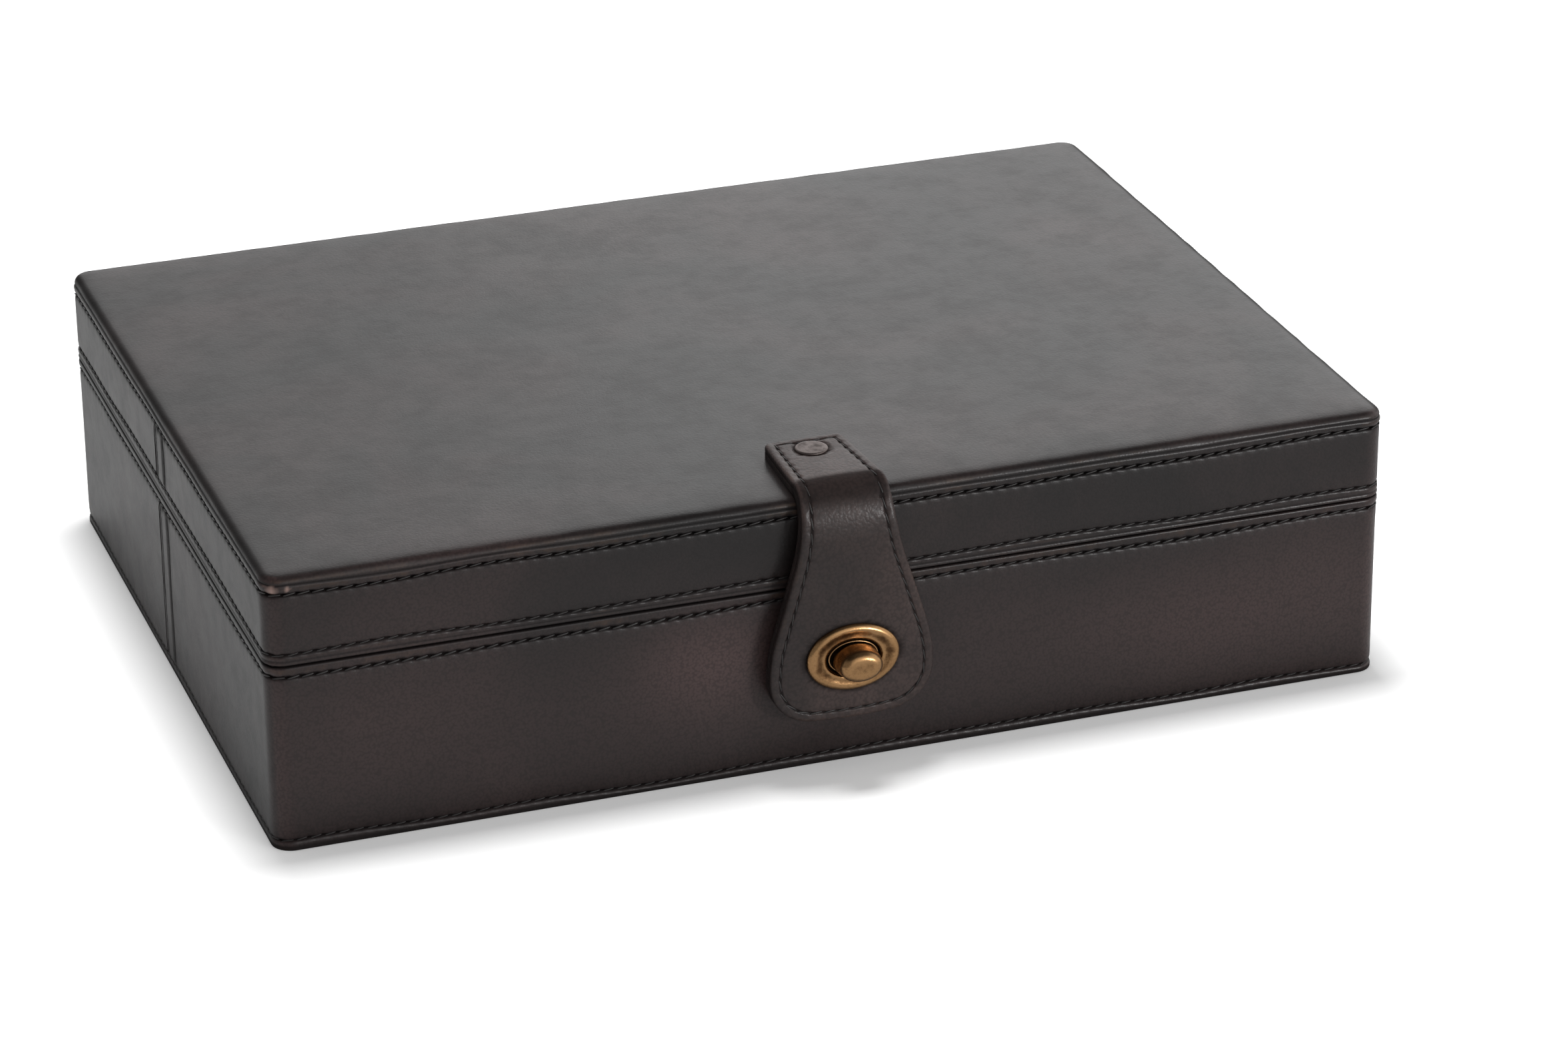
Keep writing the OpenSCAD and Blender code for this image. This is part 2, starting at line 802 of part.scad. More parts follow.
// Countersunk screw on the lock's axis, grown by a margin
module lock_screw(grow, lead) {
    cone = lock_screw_head_r - lock_screw_r;
    translate([0, panel_y - base_plate_t, lock_z]) rotate([-90, 0, 0]) rotate_extrude() polygon([
        [0, -lead], [lock_screw_head_r + grow, -lead], [lock_screw_head_r + grow, 0.1 + grow],
        [lock_screw_r + grow, 0.1 + cone + grow], [lock_screw_r + grow, lock_screw_l + grow], [0, lock_screw_l + grow]
    ]);
}

module lock_base_screws() {
    color(brass) at_lock_screws() difference() {
        lock_screw(0, 0);
        on_front(base_plate_t - 0.5, base_plate_t + cut) square([0.5, 2 * lock_screw_head_r], center = true);
    }
}

// Dished washer that presses the spindle's washer away from the wall
module lock_spring_washer() {
    color(brass) translate([0, panel_y - pocket_in, lock_z]) rotate([-90, 0, 0]) rotate_extrude() polygon([
        [spindle_r + 0.4, spring_t - 0.35], [spindle_r + 0.4, spring_t], [washer_r - 0.2, 0.35], [washer_r - 0.2, 0]
    ]);
}

// Oval head with a rounded face on a round neck, and the spindle behind it, whose end
// is spread over the retaining washer
module turn_button() {
    round = 2.5;
    taper = 0.7;
    color(brass) union() {
        hull() {
            oval_slice(button_w - 0.8, button_h - 0.8, head_in);
            oval_slice(button_w, button_h, head_in + 0.5);
            for (a = [0:22.5:90]) oval_slice(
                button_w - taper - 2 * round * (1 - cos(a)),
                button_h - taper - 2 * round * (1 - cos(a)),
                head_out - 0.01 - round * (1 - sin(a)));
        }
        lock_bore(neck_in, head_in + 0.5, neck_r);
        lock_bore(spindle_in + 0.9, neck_in + 0.5, spindle_r);
        lock_bore(spindle_in, spindle_in + 0.95, spindle_r + 0.9);
    }
}

module turn_button_washer() {
    color(brass) difference() {
        lock_bore(spindle_in + 1, spindle_in + 1 + washer_t, washer_r);
        lock_bore(spindle_in, spindle_in + 2 + washer_t, spindle_r + fit / 2);
    }
}

base_floor_board();
base_front_board();
base_back_board();
base_left_board();
base_right_board();
base_bottom_leather();
base_front_leather();
base_back_leather();
base_rim_leather();
base_wall_lining();
base_floor_lining();
lid_top_board();
lid_front_board();
lid_back_board();
lid_left_board();
lid_right_board();
lid_top_leather();
lid_front_leather();
lid_back_leather();
lid_rim_leather();
lid_wall_lining();
lid_top_lining();
left_hinge_base_leaf();
left_hinge_lid_leaf();
left_hinge_pin();
right_hinge_base_leaf();
right_hinge_lid_leaf();
right_hinge_pin();
hinge_base_screws();
hinge_lid_screws();
strap_root_outer();
strap_root_backing();
strap_flap_outer();
strap_flap_backing();
strap_rivet();
strap_rivet_burr();
lock_face_plate();
lock_back_plate();
lock_base_plate();
lock_base_screws();
lock_spring_washer();
turn_button();
turn_button_washer();
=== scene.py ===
# %% [markdown]
# # Dressing a leather document box
# The CAD model gives the case, its hinges and its lock at their real sizes. This
# script puts the finish on: leather with puffed, stitched bands, a strap bent from one
# piece, an antique brass turn lock, and a suede lining. Read it from top to bottom, as
# each cell uses what the cells before it made.

# %% Load the CAD frame
import json
import math

import bmesh
import bpy
from mathutils import Matrix, Vector, kdtree, noise
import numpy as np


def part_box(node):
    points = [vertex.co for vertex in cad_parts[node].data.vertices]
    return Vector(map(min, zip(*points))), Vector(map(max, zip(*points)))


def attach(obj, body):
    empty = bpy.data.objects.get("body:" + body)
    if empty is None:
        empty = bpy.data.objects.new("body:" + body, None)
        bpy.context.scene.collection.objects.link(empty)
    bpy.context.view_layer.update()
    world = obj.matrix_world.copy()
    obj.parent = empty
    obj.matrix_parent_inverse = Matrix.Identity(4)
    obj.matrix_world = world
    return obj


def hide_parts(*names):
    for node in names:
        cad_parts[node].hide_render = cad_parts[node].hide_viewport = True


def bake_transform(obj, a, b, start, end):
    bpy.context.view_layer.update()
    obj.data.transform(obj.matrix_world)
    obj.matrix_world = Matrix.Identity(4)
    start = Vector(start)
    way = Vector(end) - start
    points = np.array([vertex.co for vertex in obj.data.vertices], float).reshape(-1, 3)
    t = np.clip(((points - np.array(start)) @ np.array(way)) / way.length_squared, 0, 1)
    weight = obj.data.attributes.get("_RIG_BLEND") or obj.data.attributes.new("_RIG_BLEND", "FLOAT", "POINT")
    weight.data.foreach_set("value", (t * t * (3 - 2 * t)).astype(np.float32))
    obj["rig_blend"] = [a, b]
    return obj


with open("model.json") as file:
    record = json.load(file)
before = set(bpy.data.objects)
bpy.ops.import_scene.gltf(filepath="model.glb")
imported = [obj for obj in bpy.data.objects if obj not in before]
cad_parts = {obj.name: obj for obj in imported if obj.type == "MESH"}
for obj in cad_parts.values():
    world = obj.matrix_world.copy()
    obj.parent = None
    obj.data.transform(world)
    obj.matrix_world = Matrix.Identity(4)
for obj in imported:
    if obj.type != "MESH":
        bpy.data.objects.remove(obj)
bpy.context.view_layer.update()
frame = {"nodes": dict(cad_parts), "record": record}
nodes = frame["nodes"]
scene = bpy.context.scene
MM = 0.001

# %% [markdown]
# ## Sizes
# Everything is written in millimetres, and turned into metres where it meets Blender.
# The main sizes are read from the CAD nodes, so the leather fits the wood under it.

# %% Sizes of the case
low, high = (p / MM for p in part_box("base_bottom_leather"))
BOX_W, BOX_D = high.x - low.x, high.y - low.y
LID_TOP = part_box("lid_top_leather")[1].z / MM
BASE_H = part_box("base_rim_leather")[1].z / MM
LID_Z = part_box("lid_rim_leather")[0].z / MM
LID_BAND, TOP_BAND = (p.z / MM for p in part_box("lid_front_leather"))      # edges of the bands
FOOT_BAND, BASE_BAND = (p.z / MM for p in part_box("base_back_leather"))
CORNER_R = 6       # upright corners over the leather, tighter than the CAD's 8, as in the photograph
SKIN_T = 1.8       # leather from the wood out to the crest of a band
SHEET_T = 1.5      # leather where it lies flat
LINED = SKIN_T + 6 # inset of the inner faces of the wooden walls
PITCH = 4          # one stitch
LAP_ROWS = (-2, 6) # the two rows of stitches that join the side leathers
LAP_EDGE = 8       # cut edge of the front leather
print("case", round(BOX_W), "x", round(BOX_D), "x", round(LID_TOP, 1), "mm")

# %% [markdown]
# ## Camera
# The photograph's perspective was solved for the edges of the box. That gives a long
# lens, a little left of the front and 25 degrees up. The picture is 2356 by 1568.

# %% Camera
def put_in(name, data):
    """Puts an object into the scene."""
    obj = bpy.data.objects.new(name, data)
    scene.collection.objects.link(obj)
    return obj


def aim(azimuth, elevation, roll):
    """Rotation of a camera, and the direction from the box to it. Azimuth 0 is the front."""
    a, e, r = (math.radians(x) for x in (azimuth, elevation, roll))
    back = Vector((math.sin(a) * math.cos(e), -math.cos(a) * math.cos(e), math.sin(e)))
    right = Vector((math.cos(a), math.sin(a), 0))
    up = back.cross(right)
    across = right * math.cos(r) + up * math.sin(r)
    return Matrix((across, back.cross(across), back)).transposed(), back


LENS, SENSOR = 121.44, 36
TARGET, DISTANCE = Vector((16.4438, -21.3524, 29.0294)) * MM, 1569.757
camera = put_in("camera", bpy.data.cameras.new("camera"))
camera.data.lens, camera.data.sensor_width = LENS, SENSOR
rotation, back = aim(azimuth=-19.1478, elevation=24.5418, roll=-0.5023)
camera.matrix_world = Matrix.Translation(TARGET + back * DISTANCE * MM) @ rotation.to_4x4()
camera.data.clip_start, camera.data.clip_end = 0.05, 30
scene.camera = camera
print("camera at", [round(c / MM) for c in camera.matrix_world.translation])

# %% [markdown]
# ## Floor, world and lamps
# A white sweep in a studio, with three soft lights: one overhead, which leaves a narrow
# shadow round the foot, a wide one low at the back right, and a small one at the front
# right. The camera sees a white room. Mirror rays see it too, up to its dark ceiling and
# to a dark curtain on the left, which keep the rolled edges of the leather dark. The
# other rays see a dimmer room, because a white one would light the leather too much.

# %% Helpers for node trees
def plug(tree, node, **values):
    """Sets or links a node's inputs, by name, with _ for a space, or by place, as _0."""
    for key, value in values.items():
        socket = node.inputs[int(key[1:]) if key[0] == "_" else key.replace("_", " ")]
        if isinstance(value, bpy.types.NodeSocket):
            tree.links.new(value, socket)
        else:
            socket.default_value = value


def add(tree, kind, **values):
    """Adds a shader node. A small name sets a property, and any other an input."""
    node = tree.nodes.new("ShaderNode" + kind)
    for key in [key for key in values if key[0].islower()]:
        setattr(node, key, values.pop(key))
    plug(tree, node, **values)
    return node


def times(tree, a, b, plus=0.0, clamp=False):
    """The product of two sockets or numbers, plus a third."""
    return add(tree, "Math", operation="MULTIPLY_ADD", use_clamp=clamp, _0=a, _1=b, _2=plus).outputs[0]


def mottle(tree, coords, scale, detail, **more):
    """Soft noise, with its scale to a metre."""
    return add(tree, "TexNoise", Vector=coords, Scale=scale, Detail=detail, **more).outputs["Fac"]


def mix(tree, factor, a, b):
    """Mixes two colours, which are sockets or (red, green, blue)."""
    a, b = (c if isinstance(c, bpy.types.NodeSocket) else (*c, 1) for c in (a, b))
    return add(tree, "Mix", data_type="RGBA", _0=factor, _6=a, _7=b).outputs[2]


def ramp(tree, value, low, high, start=0.0, end=1.0):
    """Stretches the part of a value from low to high over start to end."""
    return add(tree, "MapRange", interpolation_type="SMOOTHSTEP", Value=value,
               _1=low, _2=high, _3=start, _4=end).outputs[0]


def bump(tree, height, strength, depth):
    """A normal that is bent by a height, to a depth in millimetres."""
    return add(tree, "Bump", Strength=strength, Distance=depth * MM, Height=height).outputs[0]


def new_material(name, **values):
    """A material with its tree, its shader and Object coordinates."""
    material = bpy.data.materials.new(name)
    material.use_nodes = True
    tree = material.node_tree
    shader = tree.nodes["Principled BSDF"]
    plug(tree, shader, **values)
    return material, tree, shader, add(tree, "TexCoord").outputs["Object"]


# %% Floor
def by_ray(tree, camera, mirror, other):
    """A strength for camera rays, one for mirror and glass rays, and one for the rest."""
    path = add(tree, "LightPath")
    bent = times(tree, path.outputs["Is Glossy Ray"], 1, path.outputs["Is Transmission Ray"])
    rest = add(tree, "Mix", data_type="FLOAT", _0=bent, _2=other, _3=mirror).outputs[0]
    seen = path.outputs["Is Camera Ray"]
    return add(tree, "Mix", data_type="FLOAT", _0=seen, _2=rest, _3=camera).outputs[0]


def mesh_of(name, bm, *materials):
    """Turns a bmesh into a mesh with its materials."""
    mesh = bpy.data.meshes.new(name)
    bm.to_mesh(mesh)
    bm.free()
    for material in materials:
        mesh.materials.append(material)
    return mesh


WHITE = (1, 1, 1, 1)
floor_paint, tree, shader, coords = new_material("floor_paint", Roughness=0.9, Emission_Color=WHITE)
plug(tree, shader, Base_Color=by_ray(tree, 0.95, 0.48, 0.55), Emission_Strength=by_ray(tree, 0.15, 0.0, 0.05))

bm = bmesh.new()
bmesh.ops.create_grid(bm, x_segments=1, y_segments=1, size=6)      # half a side, in metres
floor = put_in("floor", mesh_of("floor", bm, floor_paint))
floor.location.z = -0.05 * MM

# %% World and lamps
world = bpy.data.worlds.new("studio")
scene.world = world
world.use_nodes = True
tree = world.node_tree
sky = add(tree, "SeparateXYZ", Vector=add(tree, "TexCoord").outputs["Generated"]).outputs
walls = ramp(tree, sky["Z"], 0.53, 0.85, 1.0, 0.1)
curtain = times(tree, ramp(tree, sky["X"], -0.35, 0.15), 0.75, 0.25)
walls = times(tree, walls, curtain)
plug(tree, tree.nodes["Background"], Strength=by_ray(tree, 1.0, walls, 0.5), Color=WHITE)


def softbox(name, place, size, power, mirrored=True):
    """A square soft lamp that faces the middle of the box, in metres and watts."""
    light = bpy.data.lights.new(name, "AREA")
    light.shape, light.size, light.energy = "SQUARE", size, power
    lamp = put_in(name, light)
    lamp.location = place
    lamp.rotation_euler = (-Vector(place)).to_track_quat("-Z", "Y").to_euler()
    lamp.visible_glossy = mirrored


softbox("top_light", (0.01, 0.19, 1.7), 0.40, 24, mirrored=False)
softbox("back_light", (1.15, 2.1, 1.1), 1.2, 2.5)
softbox("front_light", (1.0, -1.75, 0.4), 0.38, 11)
scene.view_settings.view_transform = "Standard"

# %% [markdown]
# ## Shared effects
# Grain, uneven dye, rubbing on the edges with painted shade, and brass patina are each a
# node group, built once and used in several materials. They give masks and heights only.
# The shaders stay in the materials, where an exporter can read them.
#
# Many pieces carry a value called relief on their vertices. It is -1 at the bottom of
# a stitched groove and 1 on the crest of a band. Where it is low, the leather is painted
# dark as painted shade, and hands rub the leather where it is high.

# %% Helper for node groups
def new_group(name, inputs, outputs):
    """A node group with named inputs, given as name: default, and named float outputs."""
    group = bpy.data.node_groups.new(name, "ShaderNodeTree")
    group.interface.new_socket("Vector", in_out="INPUT", socket_type="NodeSocketVector")
    for key, value in inputs.items():
        socket = group.interface.new_socket(key, in_out="INPUT", socket_type="NodeSocketFloat")
        socket.default_value = value
    for key in outputs:
        group.interface.new_socket(key, in_out="OUTPUT", socket_type="NodeSocketFloat")
    return group, group.nodes.new("NodeGroupInput").outputs, group.nodes.new("NodeGroupOutput")


def place(tree, group, **values):
    """Places a node group in a material."""
    return add(tree, "Group", node_tree=group, **values).outputs


# %% Leather grain
# Small cells with creases between them, over a softer, longer wrinkle
grain, get, put = new_group("leather_grain", {"Cells": 1100, "Softness": 0.5}, ["Height", "Pores"])
warp = add(grain, "TexNoise", Vector=get["Vector"], Scale=300, Detail=2)
shifted = add(grain, "VectorMath", operation="MULTIPLY_ADD", _0=warp.outputs["Color"],
              _1=(0.0012,) * 3, _2=get["Vector"]).outputs[0]
cells = add(grain, "TexVoronoi", feature="SMOOTH_F1", Vector=shifted, Scale=get["Cells"],
            Smoothness=get["Softness"])
height = times(grain, cells.outputs["Distance"], -0.6)
height = times(grain, mottle(grain, get["Vector"], 2600, 3), 0.25, height)
height = times(grain, mottle(grain, get["Vector"], 160, 4, Roughness=0.6), 0.9, height)
plug(grain, put, Height=height, Pores=ramp(grain, cells.outputs["Distance"], 0.35, 0.75))

# %% Uneven dye
# Broad clouds, with smaller blots on their edges
dye, get, put = new_group("uneven_dye", {"Size": 14}, ["Cloud", "Blot"])
cloud = mottle(dye, get["Vector"], get["Size"], 5, Roughness=0.55, Distortion=0.6)
blot = mottle(dye, get["Vector"], times(dye, get["Size"], 6.5), 6, Roughness=0.65)
plug(dye, put, Cloud=ramp(dye, cloud, 0.38, 0.68), Blot=ramp(dye, blot, 0.35, 0.72))

# %% Edge rubbing and painted shade
# Rub follows the crests in broken patches, and the second mask is painted shade, dark where relief is low, in
# the grooves
rub_and_shade, get, put = new_group("rubbed_edges_and_shade", {"Relief": 0, "Amount": 0.32}, ["Rub", "Dirt"])
patch = mottle(rub_and_shade, get["Vector"], 55, 6, Roughness=0.7)
edge = times(rub_and_shade, get["Relief"], get["Amount"], clamp=True)
plug(rub_and_shade, put, Rub=times(rub_and_shade, edge, ramp(rub_and_shade, patch, 0.46, 0.68)),
     Dirt=times(rub_and_shade, get["Relief"], -1, clamp=True))

# %% Brass patina
# Brown tarnish in clouds, thick where relief is low and polished off where it is high
patina, get, put = new_group("brass_patina", {"Relief": 0, "Scale": 260}, ["Tarnish", "Specks"])
film = mottle(patina, get["Vector"], get["Scale"], 6, Roughness=0.65)
specks = mottle(patina, get["Vector"], times(patina, get["Scale"], 7), 4)
film = times(patina, get["Relief"], -0.28, film)
plug(patina, put, Tarnish=ramp(patina, film, 0.34, 0.72), Specks=ramp(patina, specks, 0.5, 0.72))
print("node groups:", [g.name for g in bpy.data.node_groups])

# %% [markdown]
# ## Leather
# Dark brown, almost black hide with a polished top coat. Seen flat on, the brown shows
# in clouds. Seen at a low angle, the coat mirrors the pale room, so the lid looks
# grey. The coat is what makes both true at once, and it is worn thin along the edges.

# %% Leather materials
def carried(tree, name="relief"):
    """A value that a piece carries on its vertices."""
    return add(tree, "Attribute", attribute_name=name).outputs["Fac"]


PLUM, TAN, SCUFFED = (0.085, 0.050, 0.048), (0.11, 0.062, 0.036), (0.30, 0.20, 0.17)
# PORE tones the grain's pits. The second is the near-black of painted shade in grooves, seams and needle
# holes.
PORE, SHADE_TONE = (0.004, 0.003, 0.003), (0.005, 0.004, 0.004)


def leather(name, dark, warm, cells, depth, rough, coat):
    """Dyed leather: two colours, the grain's cells to a metre, its depth in
    millimetres, the roughness, and the weight of the coat."""
    material, tree, shader, coords = new_material(
        name, Coat_Roughness=0.27, Coat_IOR=1.45, Specular_IOR_Level=0.2)
    clouds = place(tree, dye, Vector=coords)
    hide = place(tree, grain, Vector=coords, Cells=cells)
    edges = place(tree, rub_and_shade, Vector=coords, Relief=carried(tree))
    patchy = times(tree, clouds["Blot"], 0.4, 0.75)
    colour = mix(tree, clouds["Cloud"], dark, warm)
    # Below, the first mask turns plum where the dye fades and where light is painted on; low relief turns
    # near black, as painted shade.
    layers = ((carried(tree, "faded_and_lit"), patchy, PLUM),
              (clouds["Blot"], 0.35, dark), (hide["Pores"], 0.35, PORE),
              (edges["Rub"], 1, TAN), (edges["Dirt"], 0.7, SHADE_TONE), (carried(tree, "scuffed"), 1, SCUFFED))
    for mask, strength, tone in layers:
        colour = mix(tree, times(tree, mask, strength), colour, tone)
    gloss = times(tree, clouds["Blot"], 0.08, rough)
    gloss = times(tree, edges["Dirt"], 0.25, gloss, clamp=True)
    polish = times(tree, edges["Dirt"], -0.5, coat, clamp=True)
    polish = times(tree, edges["Rub"], -0.3, polish, clamp=True)
    normal = bump(tree, hide["Height"], 1, depth)
    plug(tree, shader, Base_Color=colour, Roughness=gloss, Coat_Weight=polish,
         Normal=normal, Coat_Normal=normal)
    return material


case_leather = leather("case_leather", (0.007, 0.0055, 0.0055), (0.021, 0.0135, 0.013),
                       cells=1300, depth=0.04, rough=0.42, coat=0.5)
strap_leather = leather("strap_leather", (0.024, 0.016, 0.015), (0.060, 0.038, 0.034),
                        cells=1100, depth=0.08, rough=0.50, coat=0.42)

# %% Thread material
thread_black, tree, shader, coords = new_material("thread_black", Roughness=0.42)
strand = mottle(tree, coords, 2200, 2)
plug(tree, shader, Base_Color=mix(tree, strand, (0.011, 0.010, 0.010), (0.032, 0.029, 0.028)),
     Normal=bump(tree, strand, 0.6, 0.05))
print("leathers:", case_leather.name, strap_leather.name)

# %% [markdown]
# ## Brass, bronze, wood and suede
# The lock is antique brass: warm and bright where fingers polish it, brown in the
# recesses. The rivet is darker and flatter. Wood and suede show when the lid is open.

# %% Metal materials
def metal(name, bright, tarnished, rough, scale=260):
    """Cast and tarnished metal."""
    material, tree, shader, coords = new_material(name, Metallic=1.0)
    film = place(tree, patina, Vector=coords, Relief=carried(tree), Scale=scale)
    colour = mix(tree, film["Tarnish"], bright, tarnished)
    colour = mix(tree, times(tree, film["Specks"], 0.25), colour, tarnished)
    plug(tree, shader, Base_Color=colour, Roughness=times(tree, film["Tarnish"], 0.22, rough),
         Normal=bump(tree, film["Specks"], 0.5, 0.02))
    return material


lock_brass = metal("lock_brass", (0.42, 0.24, 0.11), (0.09, 0.045, 0.02), 0.24)
hinge_brass = metal("hinge_brass", (0.55, 0.36, 0.16), (0.25, 0.15, 0.07), 0.34, scale=180)
rivet_bronze = metal("rivet_bronze", (0.20, 0.165, 0.155), (0.10, 0.08, 0.075), 0.42)

# %% Wood and suede materials
board_wood, tree, shader, coords = new_material("board_wood", Roughness=0.7)
stretched = add(tree, "Mapping", Vector=coords, Scale=(6, 90, 90)).outputs[0]
figure = mottle(tree, stretched, 3, 6, Distortion=0.8)
plug(tree, shader, Base_Color=mix(tree, ramp(tree, figure, 0.3, 0.7), (0.42, 0.27, 0.14), (0.60, 0.42, 0.25)))

suede, tree, shader, coords = new_material("suede", Roughness=0.95, Sheen_Weight=0.35, Sheen_Roughness=0.4)
nap = mottle(tree, coords, 1400, 4, Roughness=0.7)
brushed = mottle(tree, coords, 13, 5, Roughness=0.6, Distortion=0.3)
tone = mix(tree, ramp(tree, brushed, 0.25, 0.75), (0.115, 0.058, 0.034), (0.155, 0.080, 0.047))
tone = mix(tree, times(tree, nap, 0.5), tone, (0.06, 0.03, 0.018))
plug(tree, shader, Base_Color=tone, Normal=bump(tree, nap, 0.8, 0.12))
print("materials:", len(bpy.data.materials))

# %% [markdown]
# ## How the bands are shaped
# A band of leather round the box has the same section all the way. So it starts as one
# flat face with the outline of the case, and that face is carried along the section:
# each step insets it a little and lifts it a little, and leaves a strip of faces
# behind. Long edges are cut into short ones first, so that each stitch can pull the
# leather in.

# %% Outline, walk and finishing helpers
def relief_of(bm):
    return bm.verts.layers.float["relief"]


def round_off(bm, corners, radius, segments):
    """Rounds corners of a flat outline."""
    bmesh.ops.bevel(bm, geom=corners, offset=radius * MM, offset_type="OFFSET", segments=segments,
                    profile=0.5, affect="VERTICES", material=-1)


def outline(width, depth, radius, height, step=0.8):
    """A flat face with round corners, its long edges cut into short steps."""
    bm = bmesh.new()
    bm.verts.layers.float.new("relief")
    bmesh.ops.create_grid(bm, x_segments=1, y_segments=1, size=0.5)
    bmesh.ops.scale(bm, vec=(width * MM, depth * MM, 1), verts=bm.verts)
    bmesh.ops.translate(bm, vec=(0, 0, height * MM), verts=bm.verts)
    round_off(bm, bm.verts[:], radius, max(2, round(radius * math.pi / 2 / step)))
    for side in sorted(bm.edges, key=lambda e: -e.calc_length())[:4]:
        bmesh.ops.subdivide_edges(bm, edges=[side], cuts=round(side.calc_length() / MM / step) - 1)
    return bm, bm.faces[:][0]


def case_outline(inset, height):
    """The outline of the case, some way in, with its steps halved at the laps."""
    bm, core = outline(BOX_W - 2 * inset, BOX_D - 2 * inset, CORNER_R - inset, height)
    lap = [e for e in bm.edges
           if all(-5 < v.co.y / MM < 9 and abs(v.co.x) > 0.4 * BOX_W * MM for v in e.verts)]
    bmesh.ops.subdivide_edges(bm, edges=lap, cuts=1)
    return bm, core


def walk(bm, core, start, section):
    """Carries a face along a section of (inset, height, relief) points."""
    relief = relief_of(bm)
    for point in section:
        bmesh.ops.inset_region(bm, faces=[core], thickness=(point[0] - start[0]) * MM,
                               use_even_offset=True, use_boundary=True)
        bmesh.ops.translate(bm, vec=(0, 0, (point[1] - start[1]) * MM), verts=core.verts)
        for v in core.verts:
            v[relief] = point[2]
        start = point


def merge_near(bm, core, at, reach):
    """Merges the points of a face near a place into one, where the next insets would
    pass the radius of a corner. Returns the new face."""
    near = [v for v in core.verts if (v.co - at).length < reach * MM]
    bmesh.ops.pointmerge(bm, verts=near, merge_co=at)
    return max(bm.faces, key=lambda f: f.calc_area())


def square_corners(bm, core, reach):
    """Merges the points near each of a face's right-angled corners."""
    size = [max(abs(v.co[axis]) for v in core.verts) for axis in (0, 1)]
    for x, y in ((-1, -1), (-1, 1), (1, -1), (1, 1)):
        core = merge_near(bm, core, Vector((x * size[0], y * size[1], core.verts[0].co.z)), reach)
    return core


def ease(low, high, value):
    """Rises softly from 0 at low to 1 at high. High may be the smaller one."""
    t = min(1, max(0, (value - low) / (high - low)))
    return t * t * (3 - 2 * t)


def within(value, low, high, blur):
    """1 between low and high, and falls softly to 0 at both."""
    return ease(low, low + blur, value) * ease(high, high - blur, value)


def open_edges(bm):
    """The edges of holes, or of a face that stands alone."""
    return [e for e in bm.edges if e.is_boundary]


def close_back(bm):
    """Closes the one open loop with a flat face."""
    bmesh.ops.edgeloop_fill(bm, edges=open_edges(bm))


def join_ends(bm, core):
    """Takes the last face out and joins the two open loops, which makes a ring."""
    bmesh.ops.delete(bm, geom=[core], context="FACES")
    bmesh.ops.bridge_loops(bm, edges=open_edges(bm))


def slice_at(bm, axis, at, faces=None, **clear):
    """Cuts faces, or all of them, across an axis. Returns what the cut leaves."""
    geom = bm.verts[:] + bm.edges[:] + bm.faces[:]
    if faces is not None:
        geom = list({g for f in faces for g in (f, *f.edges, *f.verts)})
    co, normal = Vector(), Vector()
    co[axis], normal[axis] = at, 1
    return bmesh.ops.bisect_plane(bm, geom=geom, dist=1e-7, plane_co=co, plane_no=normal, **clear)["geom"]


def grid_cut(bm, core, step):
    """Cuts a face into square cells, so that it can be bent."""
    cells = [core]
    size = [max(abs(v.co[axis]) for v in core.verts) for axis in (0, 1)]
    for axis in (0, 1):
        count = int(2 * size[axis] / MM / step)
        for k in range(1, count):
            left = slice_at(bm, axis, -size[axis] + 2 * size[axis] * k / count, cells)
            cells = [g for g in left if isinstance(g, bmesh.types.BMFace)]
    return list({v for f in cells for v in f.verts})


def push(bm, amount):
    """Moves each vertex along its normal, by amount(vertex) in millimetres."""
    bm.normal_update()
    moves = [(v, v.normal * amount(v) * MM) for v in bm.verts]
    for v, move in moves:
        v.co += move


def sway(bm, amount, length=45, keep=lambda v: 1):
    """Lets the leather lie a little unevenly, in waves of about the given length."""
    push(bm, lambda v: noise.noise(v.co / MM / length) * amount * keep(v))


# Places on the front that are painted lighter, as x, z, half width, half height and
# strength: fading dye in part, and painted light in part, as the wide band along the
# lower base front; and the scuffs at the lid's front left corner, as x, y, z and radius
FADED_AND_LIT = [(0, 22, 400, 30, 0.33), (-38, 38, 22, 16, 0.7), (-128, 68, 45, 16, 0.2), (-140, 36, 34, 20, 0.15),
         (120, 26, 46, 18, 0.25), (150, 40, 26, 22, 0.15)]
SCUFFS = [(-162.2, -117.7, 78.5, 1.6), (-158.2, -118.8, 78.7, 0.95), (-163.8, -115.8, 79.3, 0.6)]


def weather(bm):
    """Writes the places of fading dye and painted light, with a painted highlight round each upright corner,
    and the scuffed places on the vertices.
    """
    faded_and_lit = bm.verts.layers.float.new("faded_and_lit")
    scuffed = bm.verts.layers.float.new("scuffed")
    for v in bm.verts:
        x, y, z = v.co / MM
        if y < -BOX_D / 2 + 2:
            for px, pz, width, height, strength in FADED_AND_LIT:
                v[faded_and_lit] += strength * math.exp(-((x - px) / width) ** 2 - ((z - pz) / height) ** 2)
        # Painted highlight: a lighter, warmer band down the middle of each rounded upright corner
        over_x, over_y = abs(x) - BOX_W / 2 + CORNER_R, abs(y) - BOX_D / 2 + CORNER_R
        if min(over_x, over_y) > 0 and math.hypot(over_x, over_y) > CORNER_R - 2:
            v[faded_and_lit] += 0.3 * math.sin(2 * math.atan2(over_y, over_x))
        for *at, radius in SCUFFS:
            gap = (v.co / MM - Vector(at)).length / radius
            v[scuffed] = max(v[scuffed], 1 - gap ** 2)


